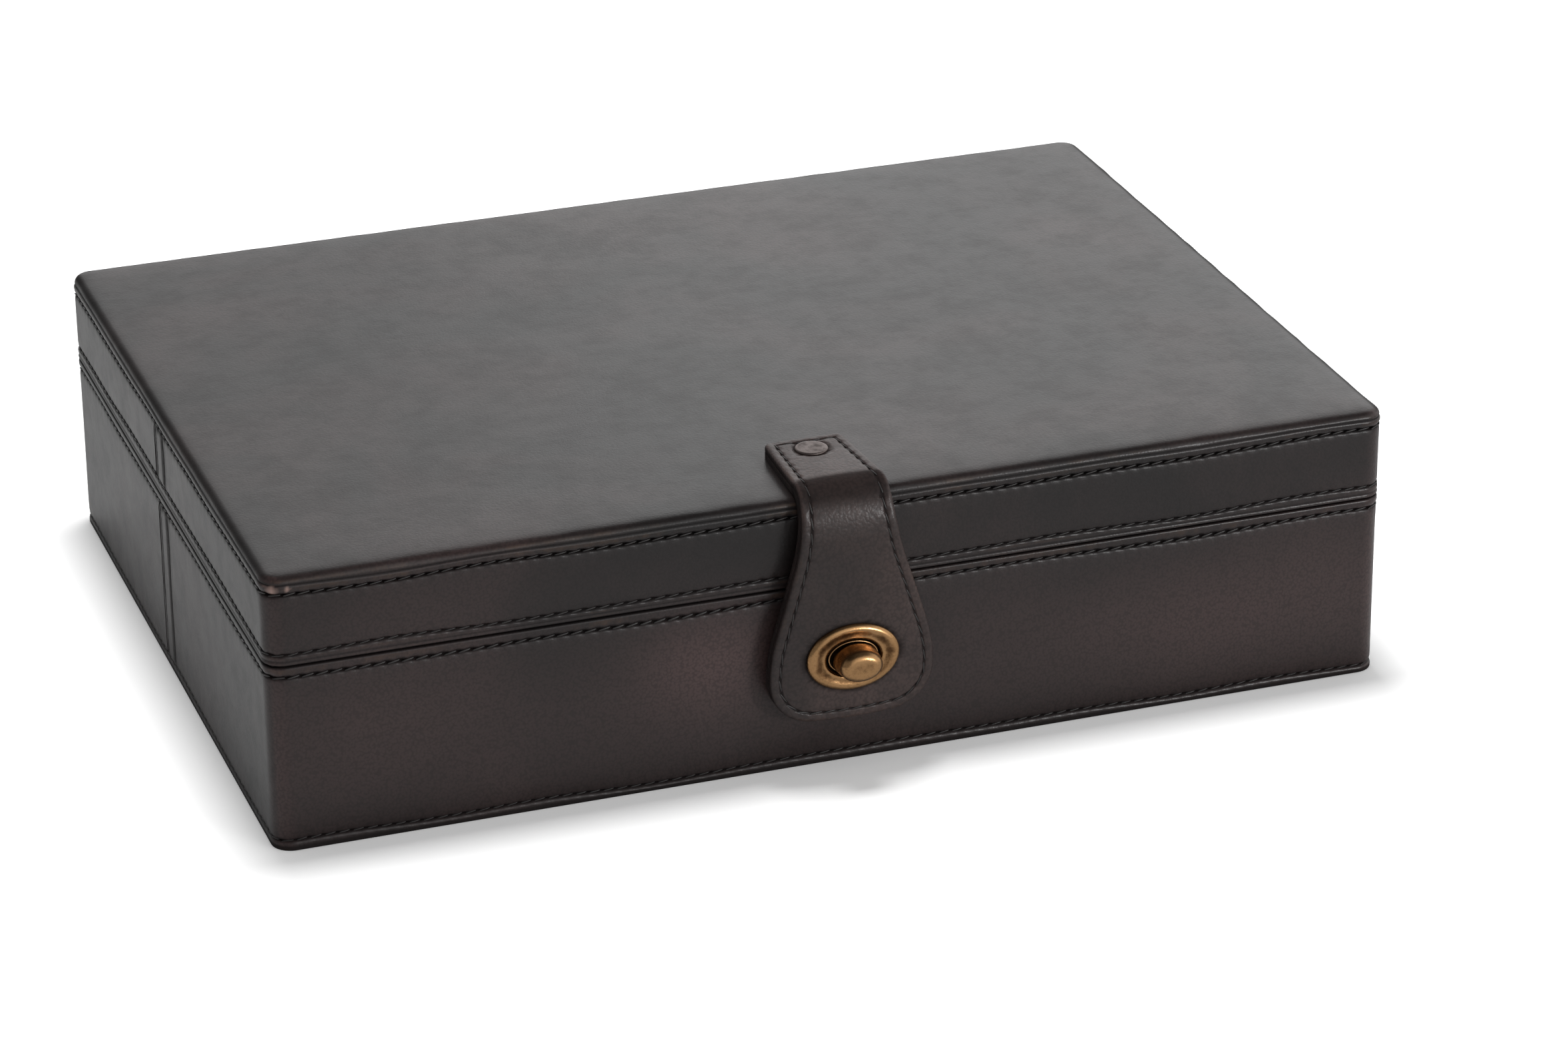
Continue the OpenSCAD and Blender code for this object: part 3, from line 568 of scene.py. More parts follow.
def wander(bm):
    """Lets the bands and their rows of stitches run a little up and down, as hand work
    does. The foot and the top stay level, and both rims rise alike at the front left."""
    for v in bm.verts:
        x, y, z = v.co / MM
        outer = ease(-2.4, -1.9, max(abs(x) - BOX_W / 2, abs(y) - BOX_D / 2))
        free = ease(0.6, 2.0, z) * ease(LID_TOP - 0.5, LID_TOP - 4, z)
        seam = ease(1.2, 3.5, abs(z - (BASE_H + LID_Z) / 2))
        drift = noise.noise(Vector((x / 42, y / 42, z / 11))) * free * seam
        lift = (0.15 + 0.4 * ease(40, -60, x)) * ease(-60, -110, y) * (1 - seam)
        v.co.z += (drift + lift) * outer * MM


def piece(name, bm, material, body, *stands_for, slot=None):
    """Makes a finished object of a bmesh, on its body and in place of its CAD nodes."""
    slot = slot or material.name.split(".")[0]     # the CAD nodes' materials have these names too
    bmesh.ops.recalc_face_normals(bm, faces=bm.faces)
    if slot == "case_leather":
        wander(bm)
    if material == case_leather:
        weather(bm)
    loose = len(open_edges(bm))
    for f in bm.faces:
        f.smooth = True
    obj = put_in(name, mesh_of(name, bm, material))
    if body:
        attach(obj, body)
    if stands_for:
        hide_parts(*stands_for)
    triangles = sum(len(p.vertices) - 2 for p in obj.data.polygons)
    print(f"{name}: {triangles} triangles, {loose} open edges")
    return obj


def cover(name, bm, body):
    """A leather of the case, which stands for the CAD node of the same name."""
    piece(f"{body}_{name}_cover", bm, case_leather, body, f"{body}_{name}_leather")


# %% [markdown]
# ## Where the stitches go
# The needle holes come before the leather, because the thread pulls the leather in
# at each of them. Four rows run right round the case, just off the bands, and two
# short rows close the lap in the middle of each end.

# %% Stitch rows
def spaced(points, closed=True):
    """The middle and the direction of each stitch along some points."""
    ends = points[1:] + points[:1] if closed else points[1:]
    legs = [(a, b - a) for a, b in zip(points, ends)]
    total = sum(leg.length for a, leg in legs)
    count = max(1, round(total / MM / PITCH))
    stitches, travelled, k = [], 0.0, 0
    for a, leg in legs:
        while k < count and travelled + leg.length >= (k + 0.5) * total / count:
            way = leg.normalized()
            stitches.append((a + way * ((k + 0.5) * total / count - travelled), way))
            k += 1
        travelled += leg.length
    return stitches


def case_row(height, inset=0.55):
    """The stitches of a row that runs right round the case."""
    bm, core = case_outline(inset, height)
    points = [v.co.copy() for v in core.verts]
    bm.free()
    return spaced(points)


def lap_rows(low, high, inset=0.25):
    """The stitches of the upright rows at both ends of the case."""
    rows = []
    for x in (inset - BOX_W / 2, BOX_W / 2 - inset):
        for y in LAP_ROWS:
            rows += spaced([Vector((x, y, z)) * MM for z in (low, high)], closed=False)
    return rows


ROWS = {
    "lid_edge": case_row(TOP_BAND + 0.15),
    "lid_rim": case_row(LID_BAND - 0.2),
    "base_rim": case_row(BASE_BAND + 0.2),
    "base_foot": case_row(FOOT_BAND - 0.05),
    "lid_lap": lap_rows(LID_BAND + 0.8, TOP_BAND - 0.8),
    "base_lap": lap_rows(FOOT_BAND + 1.2, BASE_BAND - 0.8),
}
print("stitches:", {name: len(row) for name, row in ROWS.items()})


# %% Pulling the leather in at the needle holes
def look_up(points):
    """Points, ready for a quick search of the nearest."""
    tree = kdtree.KDTree(len(points))
    for i, point in enumerate(points):
        tree.insert(point, i)
    tree.balance()
    return tree


def hole_tree(*names):
    """The needle holes of some rows, which lie between the stitches."""
    rows = [[place for place, way in ROWS[name]] for name in names]
    pairs = [pair for row in rows for pair in zip(row, row[1:] + row[:1])]
    return look_up([(a + b) / 2 for a, b in pairs if (a - b).length < 2 * PITCH * MM])


def pull_in(bm, holes, depth=0.24, reach=2.0, shade_reach=0.85):
    """Dents the leather towards each needle hole, and paints it dark near the hole, as painted shade."""
    relief = relief_of(bm)
    gaps = {v: holes.find(v.co)[2] / MM for v in bm.verts}
    push(bm, lambda v: -depth * max(0, 1 - (gaps[v] / reach) ** 2) ** 2)
    for v, gap in gaps.items():
        if gap < reach:
            v[relief] = min(v[relief], 0.5 * (gap / shade_reach - 1))


# %% [markdown]
# ## Top and bottom leathers
# The top leather is one sheet. It is pulled over the edge of the lid, tooled with a
# crease, and stitched down as a puffed band. The bottom leather turns up in the same
# way. Each is a closed skin: a flat underside against the wood, the band, and the face.

# %% Lid top leather
# Points of its section, as inset, depth below the top, and relief
ROLL = [(1.80, 5.80, 0), (1.20, 5.84, -1), (0.85, 5.65, -1), (0.50, 5.42, -0.6), (0.24, 5.10, -0.2),
        (0.08, 4.60, 0.4), (0.00, 4.05, 1), (0.05, 3.60, 0.6), (0.20, 3.30, -0.3), (0.40, 3.08, -1),
        (0.42, 2.85, -0.8), (0.34, 2.60, -0.2), (0.34, 2.35, 0.3), (0.42, 2.05, 0.8), (0.56, 1.72, 0.8),
        (0.78, 1.40, 0.3), (1.02, 1.12, 0), (1.30, 0.90, 0), (1.65, 0.72, 0), (2.10, 0.58, 0),
        (2.80, 0.46, 0), (4.00, 0.34, 0), (5.40, 0.26, 0)]
# Low relief in the section paints the stitched groove and the crease dark: painted shade
bm, core = case_outline(SKIN_T, LID_TOP - SHEET_T)
walk(bm, core, (SKIN_T, LID_TOP - SHEET_T), [(i, LID_TOP - down, r) for i, down, r in ROLL])
face = grid_cut(bm, core, 6)
close_back(bm)
pull_in(bm, hole_tree("lid_edge"))
sway(bm, 0.14, 8, keep=lambda v: ease(2.9, 2.1, LID_TOP - v.co.z / MM)
     * ease(0.4, 0.9, LID_TOP - v.co.z / MM))
# Painted shade: the roll along both ends and the back is darkened through its relief
relief = relief_of(bm)
for v in bm.verts:
    x, y, z = v.co / MM
    edge = min(BOX_W / 2 - abs(x), BOX_D / 2 - y)
    v[relief] -= 0.8 * ease(3.2, 1.6, edge) * ease(2.9, 2.3, LID_TOP - z)
half_w, half_d = (BOX_W / 2 - ROLL[-1][0]) * MM, (BOX_D / 2 - ROLL[-1][0]) * MM
for v in face:
    crown = (1 - (v.co.x / half_w) ** 2) * (1 - (v.co.y / half_d) ** 2)
    edge = min(half_w - abs(v.co.x), half_d - abs(v.co.y)) / MM
    rise = 0.26 * (1 - math.exp(-max(0, edge) / 8))
    v.co.z += (rise + 0.3 * crown + 0.12 * min(1, 4 * crown) * noise.noise(v.co / MM / 40)) * MM
cover("top", bm, "lid")

# %% Base bottom leather
bm, core = case_outline(SKIN_T, SHEET_T)
# Low relief paints the stitched groove and the rolled underside of the foot near black: painted shade, a
# painted contact shadow along the floor
walk(bm, core, (SKIN_T, SHEET_T), [
    (1.80, 2.60, 0), (1.20, 2.62, -1), (0.85, 2.44, -1), (0.50, 2.22, -0.5), (0.20, 1.94, 0),
    (0.05, 1.55, 0), (0.01, 1.10, -0.9), (0.00, 0.60, -1), (0.04, 0.28, -1), (0.14, 0.07, -1),
    (0.40, 0.00, -1), (1.60, 0.00, -0.5), (5.00, 0.00, 0)])
close_back(bm)
pull_in(bm, hole_tree("base_foot"), depth=0.12)
cover("bottom", bm, "base")

# %% [markdown]
# ## Side leathers
# Two strips cover the walls of the base, and two those of the lid. They meet in a lap
# at the middle of each end, with a raised ridge between two rows of stitches. A whole
# ring is walked first, then cut in two where the front strip ends.

# %% Lap relief
def lap_height(y):
    """How far the leather stands out across the lap, and how dark its grooves are painted, as painted shade.
    """
    ridge = within(y, -2.9, 6.9, 1.5)
    skived = ease(-5, -3.4, y) * ease(LAP_EDGE + 0.3, LAP_EDGE - 0.4, y)
    grooves = sum(math.exp(-((y - row) / 0.75) ** 2) for row in LAP_ROWS)
    return 0.22 * ridge + 0.12 * skived - 0.55 * grooves, 1.3 * grooves


# %% Side covers
def side_cover(body, side, z0, z1, *holes):
    """The front (-1) or back (1) leather between two heights."""
    # Low relief along each row paints its groove dark: painted shade
    rise = [(1.20, 0.06, -1), (0.85, 0.22, -1), (0.50, 0.38, -0.9), (0.28, 0.62, -0.6), (0.18, 1.20, -0.1)]
    lower = [(i, z0 + z, r) for i, z, r in rise]
    upper = [(i, z1 - z, r) for i, z, r in reversed(rise)]
    count = max(2, round((z1 - z0 - 4) / 3.5))
    middle = [(0.14, z0 + 2.2 + (z1 - z0 - 4.4) * k / count, 0) for k in range(count + 1)]
    bm, core = case_outline(SKIN_T, z0)
    walk(bm, core, (SKIN_T, z0), lower + middle + upper + [(SKIN_T, z1, 0)])
    join_ends(bm, core)
    slice_at(bm, 1, LAP_EDGE * MM, clear_outer=side < 0, clear_inner=side > 0)
    bmesh.ops.holes_fill(bm, edges=open_edges(bm), sides=0)
    pull_in(bm, hole_tree(*holes))
    relief = relief_of(bm)
    for v in bm.verts:
        x, y, z = v.co / MM
        if abs(x) > BOX_W / 2 - 1.2 and abs(y - 2) < 9:
            out, groove = lap_height(y) if side < 0 else (-0.25 * ease(9.2, 8, y), 0)
            inside = within(z, z0 + 0.6, z1 - 0.6, 1)
            v.co.x += math.copysign(out * inside * MM, x)
            # Painted shade darkens the lap's grooves
            v[relief] = min(v[relief], -groove * inside)
    sway(bm, 0.16, keep=lambda v: within(v.co.z / MM, z0 + 1, z1 - 1, 5))
    cover("front" if side < 0 else "back", bm, body)


for side in (-1, 1):
    side_cover("lid", side, LID_BAND - 0.4, TOP_BAND + 0.2, "lid_edge", "lid_rim", "lid_lap")
    side_cover("base", side, FOOT_BAND - 0.2, BASE_BAND + 0.4, "base_foot", "base_rim", "base_lap")

# %% [markdown]
# ## Rim leathers
# A strip folds over each rim: a puffed band outside, the flat rim, and a turn-in over
# the inner face of the wall. The lid's band has a tooled crease, which fades out to the
# left. Inside, the corners are square, so the round corner of the outline is merged to
# a point where its radius runs out. At the hinges the strip is cut down, so that the
# brass leaves lie flush with it.

# %% Rim covers
# Points of the sections, as inset, distance from the rim, and relief. Those of the
# stitched edge count from the band's edge instead.
STITCHED = [(1.20, 0.04, -1), (0.85, 0.20, -1), (0.50, 0.42, -1), (0.22, 0.75, -0.5), (0.07, 1.12, 0.5)]
CREASED = [(0.05, 2.25, 0.3), (0.10, 1.75, -0.4), (0.18, 1.42, -0.7), (0.16, 1.20, -0.4), (0.08, 0.96, 0.1),
           (0.02, 0.76, 0.3), (0.01, 0.58, 0.3), (0.06, 0.38, 0)]
# Low relief in RIM and TURN_IN paints the seam gap and the inner fold dark: painted shade
RIM = [(0.20, 0.22, 0.3), (0.42, 0.09, -0.3), (0.80, 0.01, -1), (1.30, 0, -1), (2.20, 0, -0.5), (5.00, 0, 0)]
TURN_IN = [(7.00, 0.03, 0), (LINED, 0.12, 0), (8.40, 0.45, 0.1), (8.72, 0.95, 0.1), (8.80, 1.70, 0),
           (8.80, 7.40, 0), (8.62, 7.85, -0.5), (LINED, 8.00, -1)]


def rim_cover(body, rim, way, band):
    """The leather over a rim, which rises (1) on the base and hangs (-1) on the lid."""
    crest = CREASED if body == "lid" else [(0.00, band / 2 + 0.1, 1), (0.02, 0.75, 0.8), (0.08, 0.42, 0.6)]
    section = [(i, band - z, r) for i, z, r in STITCHED] + crest + RIM
    outside, inside = ([(i, rim - way * z, r) for i, z, r in points] for points in (section, TURN_IN))
    bm, core = case_outline(SKIN_T, rim - way * band)
    walk(bm, core, (SKIN_T, rim - way * band), outside)
    core = square_corners(bm, core, reach=4.6)
    walk(bm, core, outside[-1], inside)
    join_ends(bm, core)
    pull_in(bm, hole_tree(f"{body}_rim"))
    relief = relief_of(bm)
    for v in bm.verts:
        x, y, z = v.co / MM
        down = way * (rim - z)
        if body == "lid" and y < 1 - BOX_D / 2:        # fills the crease towards the left
            v.co.y -= 0.13 * math.exp(-((down - 1.36) / 0.35) ** 2) * ease(60, -40, x) * MM
        # Painted shade: the seam is darkened close to the rim, except on the right half of the front, and
        # more widely on the left end
        if y > 1 - BOX_D / 2 or x < 0:
            v[relief] -= 0.9 * ease(1.1 if x < 1 - BOX_W / 2 else 0.55, 0.5, down)
    sink_for_hinges(bm, rim, way)
    cover("rim", bm, body)


def sink_for_hinges(bm, rim, way, slack=0.25, deep=1.55, slope=0.05):
    """Cuts the leather down under the hinge leaves, with steep sides."""
    low, high = (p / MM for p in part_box("right_hinge_base_leaf"))
    x0, x1, y0 = low.x - slack, high.x + slack, low.y - slack
    planes = [(s * x, 0) for s in (-1, 1) for x in (x0, x0 + slope, x1, x1 - slope)]
    for at, axis in planes + [(y0, 1), (y0 + slope, 1)]:
        near = [f for f in bm.faces if max(v.co.y for v in f.verts) > (y0 - 1) * MM]
        slice_at(bm, axis, at * MM, near)
    for v in bm.verts:
        x, y, z = v.co / MM
        if x0 + 0.04 < abs(x) < x1 - 0.04 and y > y0 + 0.04 and way * (rim - z) < deep:
            v.co.z = (rim - way * deep) * MM


rim_cover("base", BASE_H, 1, BASE_H - BASE_BAND)
rim_cover("lid", LID_Z, -1, LID_BAND - LID_Z)

# %% [markdown]
# ## Thread
# A saddle stitch leaves one short slanted bar of thread between each two needle holes.
# One small rounded bar is shaped once and copied to every stitch, along the row and a
# little tilted, with its back in the groove.

# %% Stitches
# One stitch: a few dozen faces, rounded at both ends
BAR_LENGTH, BAR_T = 3.6, 0.52
bm = bmesh.new()
bmesh.ops.create_uvsphere(bm, u_segments=6, v_segments=6, radius=0.5)
for v in bm.verts:
    v.co.z = math.copysign(abs(2 * v.co.z) ** 0.75 / 2, v.co.z)
bmesh.ops.scale(bm, vec=Vector((BAR_T, BAR_T, BAR_LENGTH)) * MM, verts=bm.verts)
BAR = mesh_of("thread_bar", bm)


def sew(name, stitches, slot, body=None, tilt=9, sink=0.0):
    """Copies the bar to stitches, given as place, direction and outward normal."""
    bm = bmesh.new()
    for place, way, out in stitches:
        before = len(bm.verts)
        bm.from_mesh(BAR)
        bm.verts.ensure_lookup_table()
        way = (Matrix.Rotation(math.radians(tilt), 3, out) @ way).normalized()
        turn = Matrix((out.cross(way).normalized(), out, way)).transposed().to_4x4()
        matrix = Matrix.Translation(place - out * sink * MM) @ turn
        bmesh.ops.transform(bm, matrix=matrix, verts=bm.verts[before:])
    return piece(name, bm, thread_black, body, slot=slot)


def case_stitches(row):
    """Adds the outward normal. Rows round the case stand a little prouder at its ends."""
    for place, way in row:
        level = abs(way.z) < 0.5
        out = way.cross(Vector((0, 0, 1))) if level else Vector((place.x, 0, 0))
        out = out.normalized() * (1 if out.dot(place) > 0 else -1)
        proud = 0.2 * abs(out.x) if level else 0
        yield place + out * proud * MM, way, out


for name, row in ROWS.items():
    sew(f"{name}_thread", case_stitches(row), "case_leather", name.split("_")[0],
        sink=0.3 if name == "base_foot" else 0)

# %% [markdown]
# ## Strap
# The strap is two layers of leather, glued and sewn round the edge, with burnished
# sides. It is drawn flat first, as it would be cut: a few corners, rounded with a
# vertex bevel. The face is then carried up through the thickness, with a rounded edge
# and a groove for the thread. Last, it is cut into narrow strips and bent over the lid.

# %% Strap path
ROOT_Y, END_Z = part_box("strap_root_outer")[1].y / MM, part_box("strap_flap_outer")[0].z / MM
RIVET_Y = sum(p.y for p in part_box("strap_rivet")) / 2 / MM
LOCK_Z = sum(p.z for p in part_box("lock_face_plate")) / 2 / MM
PANEL_Y = SKIN_T - SHEET_T - BOX_D / 2     # front leather of the base, where the lock stands
FACE_Y = -BOX_D / 2 - 3                    # inner face of the strap at the lock
STRAP_T = 4.0
ASKEW = 1.2                                # how far to the left the strap is riveted
TIGHT_R, TIGHT_A = 3.0, math.radians(60)   # the bend over the lid's edge
TIGHT = Vector((2.5 - BOX_D / 2, LID_TOP - TIGHT_R))
OUT = Vector((-math.sin(TIGHT_A), math.cos(TIGHT_A)))
WIDE_R = ((TIGHT + TIGHT_R * OUT).x - FACE_Y) / (1 - math.sin(TIGHT_A))
WIDE = TIGHT + (TIGHT_R - WIDE_R) * OUT
# Distances along the strap from its riveted end
S_TIGHT = ROOT_Y - TIGHT.x
S_WIDE = S_TIGHT + (TIGHT_R + STRAP_T / 2) * TIGHT_A
S_STRAIGHT = S_WIDE + (WIDE_R + STRAP_T / 2) * (math.pi / 2 - TIGHT_A)
STRAP_L, LOCK_S, RIVET_S = S_STRAIGHT + WIDE.y - END_Z, S_STRAIGHT + WIDE.y - LOCK_Z, ROOT_Y - RIVET_Y


def on_strap(x, s, t):
    """Bends a point of the flat strap: x across, s from the riveted end, t outwards. It
    bends tightly over the lid's edge, relaxes, and hangs straight."""
    x -= ASKEW * (1 - ease(0, 70, s))
    if s <= S_TIGHT:
        return Vector((x, ROOT_Y - s, LID_TOP + t)) * MM
    if s >= S_STRAIGHT:
        return Vector((x, FACE_Y - t, WIDE.y - (s - S_STRAIGHT))) * MM
    centre, radius, start, turned = TIGHT, TIGHT_R, S_TIGHT, 0
    if s >= S_WIDE:
        centre, radius, start, turned = WIDE, WIDE_R, S_WIDE, TIGHT_A
    a = turned + (s - start) / (radius + STRAP_T / 2)
    y, z = centre + (radius + t) * Vector((-math.sin(a), math.cos(a)))
    return Vector((x, y, z)) * MM


# %% Strap outline
def round_pair(bm, x, s, radius, segments):
    """Rounds the outline's corners at (x, s) and (-x, s)."""
    found = [v for v in bm.verts if abs(abs(v.co.x) - x * MM) < 1e-6 and abs(v.co.y - s * MM) < 1e-6]
    round_off(bm, found, radius, segments)


# Corners of the right half, as x, s, how far they are rounded, and segments
CORNERS = [(11.5, 0.0, 2, 5), (13.2, 31.0, 6, 3), (13.9, 45.0, 7.5, 8), (24.2, 79.5, 5.8, 6),
           (24.2, STRAP_L - 1.4, 12.2, 16), (0, STRAP_L + 0.3, 9, 5)]
bm = bmesh.new()
relief = bm.verts.layers.float.new("relief")
half = [(x, s) for x, s, *_ in CORNERS]
ring = half + [(-x, s) for x, s in half[-2::-1]]
bm.faces.new([bm.verts.new((x * MM, s * MM, 0)) for x, s in ring])
for corner in CORNERS:
    round_pair(bm, *corner)
for e in [e for e in bm.edges if e.calc_length() > 1.4 * MM]:
    bmesh.ops.subdivide_edges(bm, edges=[e], cuts=int(e.calc_length() / MM))
core = bm.faces[:][0]
print("strap outline:", len(core.verts), "corners,", round(STRAP_L, 1), "mm long")

# %% Strap edge and groove
FACE_T = 4.02      # outer face, a little over the strap's thickness
# The relief paints the burnished sides and the thread's groove dark: painted shade
walk(bm, core, (0, 0), [
    (0.0, 1.75, -0.6), (0.1, 1.95, -1), (0.1, 2.05, -1), (0.0, 2.3, -0.6), (0.0, 3.1, -0.5),
    (0.10, 3.5, 0), (0.36, 3.82, 0.6), (0.75, 3.98, 0.6), (1.3, FACE_T, 0.1), (1.9, FACE_T, 0)])
for side in (-1, 1):
    core = merge_near(bm, core, Vector((side * 9.7, 1.9, FACE_T)) * MM, reach=2.4)
walk(bm, core, (1.9, FACE_T), [(2.3, FACE_T, 0), (2.55, 3.92, -0.6), (2.85, 3.68, -1)])
groove = [v.co.copy() for v in core.verts]
walk(bm, core, (2.85, 3.68), [(3.15, 3.92, -0.6), (3.4, FACE_T, 0), (4.2, FACE_T, 0)])
close_back(bm)
print("groove points:", len(groove))


# %% Strap slot and cuts
def oval(bm, width, height, level, segments=64, centre=(0, 0), face=True):
    """Adds an oval at a level, as a face or as a bare loop, and returns its vertices."""
    made = bmesh.ops.create_circle(bm, cap_ends=face, segments=segments, radius=0.5 * MM)["verts"]
    bmesh.ops.scale(bm, vec=(width, height, 1), verts=made)
    bmesh.ops.translate(bm, vec=(centre[0] * MM, centre[1] * MM, level * MM), verts=made)
    return made


def edges_of(verts):
    """The edges that join these vertices to each other."""
    chosen = set(verts)
    return list({e for v in verts for e in v.link_edges if e.other_vert(v) in chosen})


def cut_oval(bm, face, *ovals, level):
    """Replaces a flat face by one with holes, each given as width, height and centre."""
    rim = list(face.edges)
    bmesh.ops.delete(bm, geom=[face], context="FACES_ONLY")
    loops = [edges_of(oval(bm, w, h, level, centre=centre, face=False)) for w, h, centre in ovals]
    bmesh.ops.triangle_fill(bm, use_beauty=True, use_dissolve=False, edges=rim + sum(loops, []))
    return loops


SLOT = (17.6, 12.6, (0, LOCK_S))
back_face = min(bm.faces, key=lambda f: f.calc_center_median().z)
loops = cut_oval(bm, core, SLOT, level=4.1) + cut_oval(bm, back_face, SLOT, level=0)
bmesh.ops.bridge_loops(bm, edges=sum(loops, []))
bends = [S_TIGHT + (S_STRAIGHT - S_TIGHT) * k / 40 + 0.21 for k in range(40)]
for axis, places in ((1, range(1, int(STRAP_L))), (1, bends), (0, range(-22, 23, 2))):
    for at in places:
        slice_at(bm, axis, at * MM)
print("strap, flat:", len(bm.faces), "faces,", len(open_edges(bm)), "open edges")

# %% Bend the strap and blend it over its flex line
flat_row = spaced(groove)
pull_in(bm, look_up([p + d * PITCH / 2 * MM for p, d in flat_row]), depth=0.22, reach=1.8)
for v in bm.verts:
    x, s, t = v.co / MM
    from_rivet = math.hypot(x, s - RIVET_S)
    from_plate = 11.5 * (math.hypot(x / 13.75, (s - LOCK_S) / 10) - 1)     # half the plate's size
    # Painted shade: dark rings round the rivet and the plate, where they press in, and a dark tight bend over
    # the lid's edge
    if t > 3:
        t -= 0.4 * ease(6.2, 5.0, from_rivet)
        v[relief] -= ease(5.7, 5.1, from_rivet) + ease(1.1, 0.2, from_plate)
    v[relief] -= 0.9 * ease(S_TIGHT - 2.5, S_TIGHT + 0.5, s) * ease(S_WIDE + 5, S_WIDE - 1, s)
    swell = 0.1 * ease(9, 2, abs(x)) + noise.noise(Vector((x, s, 0)) / 17) * 0.14
    v.co = on_strap(x, s, t + swell * ease(2, 14, s))
strap = piece("strap", bm, strap_leather, None,
              "strap_root_outer", "strap_root_backing", "strap_flap_outer", "strap_flap_backing")
FLEX = ("lid", "strap", (0, -0.1195, 0.085), (0, -0.1225, 0.074))
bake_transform(strap, *FLEX)


def strap_stitches():
    """The stitches of the strap, bent with it, and their outward normals."""
    for p, d in flat_row:
        x, s, t = p / MM
        ahead, behind = p / MM + d * 0.8, p / MM - d * 0.8
        way = (on_strap(ahead.x, ahead.y, t) - on_strap(behind.x, behind.y, t)).normalized()
        out = on_strap(x, s, t + 1) - on_strap(x, s, t)
        out = (out - way * out.dot(way)).normalized()
        yield on_strap(x, s, t + 0.1), way, out


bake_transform(sew("strap_thread", strap_stitches(), "strap_leather"), *FLEX)

# %% [markdown]
# ## Turn lock and rivet
# Each metal piece is a stack of ovals or circles, one face carried along its section
# as the leather was. The slot in the strap fits over the boss, and the button turns
# across it. The pieces are drawn lying down, then stood up against the front.

# %% Oval sections
def oval_walk(bm, core, section):
    """Carries an oval face along a section of (width, height, level, relief) points, from
    the first, where it is."""
    relief = relief_of(bm)
    centre = core.calc_center_median()
    for start, point in zip(section, section[1:]):
        bmesh.ops.inset_region(bm, faces=[core], thickness=0, use_boundary=True)
        bmesh.ops.scale(bm, vec=(point[0] / start[0], point[1] / start[1], 1), verts=core.verts,
                        space=Matrix.Translation(-centre))
        bmesh.ops.translate(bm, vec=(0, 0, (point[2] - start[2]) * MM), verts=core.verts)
        for v in core.verts:
            v[relief] = point[3]
    return core


def oval_solid(section, segments=72):
    """Draws the first oval of a section and carries it along the others."""
    bm = bmesh.new()
    bm.verts.layers.float.new("relief")
    oval(bm, *section[0][:3], segments)
    return bm, oval_walk(bm, bm.faces[:][0], section)


def rounds(*points):
    """The circles of a section, given as (diameter, level, relief)."""
    return [(d, d, level, r) for d, level, r in points]


def stand_up(bm):
    """Turns a piece that was drawn lying down to stand on the front panel."""
    bmesh.ops.rotate(bm, cent=(0, 0, 0), matrix=Matrix.Rotation(math.pi / 2, 3, "X"), verts=bm.verts)
    bmesh.ops.translate(bm, vec=Vector((0, PANEL_Y, LOCK_Z)) * MM, verts=bm.verts)


# %% Face plate on the strap
bm, core = oval_solid([
    (17.2, 12.2, 2.5, 0), (17.2, 12.2, 7.25, 0), (26.8, 19.3, 7.25, -1), (27.3, 19.8, 7.35, -0.3),
    (27.5, 20.0, 7.62, 0.5), (27.4, 19.9, 7.95, 0.9), (27.0, 19.5, 8.30, 1), (26.3, 18.8, 8.62, 1),
    (25.3, 17.9, 8.86, 0.9), (24.1, 16.9, 8.96, 0.5), (22.9, 16.0, 8.92, 0.1), (21.6, 15.1, 8.78, -0.3),
    (20.2, 14.1, 8.66, -0.3), (19.0, 13.2, 8.64, 0), (18.0, 12.5, 8.70, 0.6), (17.2, 11.9, 8.66, 0.8),
    (16.6, 11.4, 8.46, 0.5), (16.15, 11.1, 8.10, -0.2), (16.0, 11.0, 7.60, -0.8), (16.0, 11.0, 2.5, -1)],
    segments=96)
join_ends(bm, core)
stand_up(bm)
piece("lock_plate", bm, lock_brass, "strap", "lock_face_plate")

# %% Base plate with its boss
SCREW_X = 9.95
BOSS = [(15.5, 10.5, 1.5, 0), (15.3, 10.3, 1.65, -1), (15.1, 10.1, 2.0, -0.8), (15.1, 10.1, 7.5, 0),
        (14.9, 9.9, 7.86, 0.6), (14.4, 9.5, 8.04, 0.6), (13.8, 9.1, 8.0, 0.1), (13.4, 8.9, 7.7, -0.5),
        (13.2, 8.8, 7.4, -0.8), *rounds((4.1, 7.4, -1), (4.1, 0.3, -1))]
HOLE = rounds((3.9, 1.5, 0), (3.9, 0.3, -1))
bm, core = oval_solid([(25, 18, 0, 0), (25, 18, 1.1, 0.3), (24.8, 17.8, 1.36, 0.7), (24.4, 17.4, 1.5, 0.5)])
back_loop = open_edges(bm)
places = [(BOSS, 0), (HOLE, -SCREW_X), (HOLE, SCREW_X)]
loops = cut_oval(bm, core, *[(*section[0][:2], (x, 0)) for section, x in places], level=1.5)
for loop, (section, x) in zip(loops, places):
    oval_walk(bm, bmesh.ops.edgeloop_fill(bm, edges=loop)["faces"][0], section)
bmesh.ops.edgeloop_fill(bm, edges=back_loop)
stand_up(bm)
piece("lock_base", bm, lock_brass, "base", "lock_base_plate")

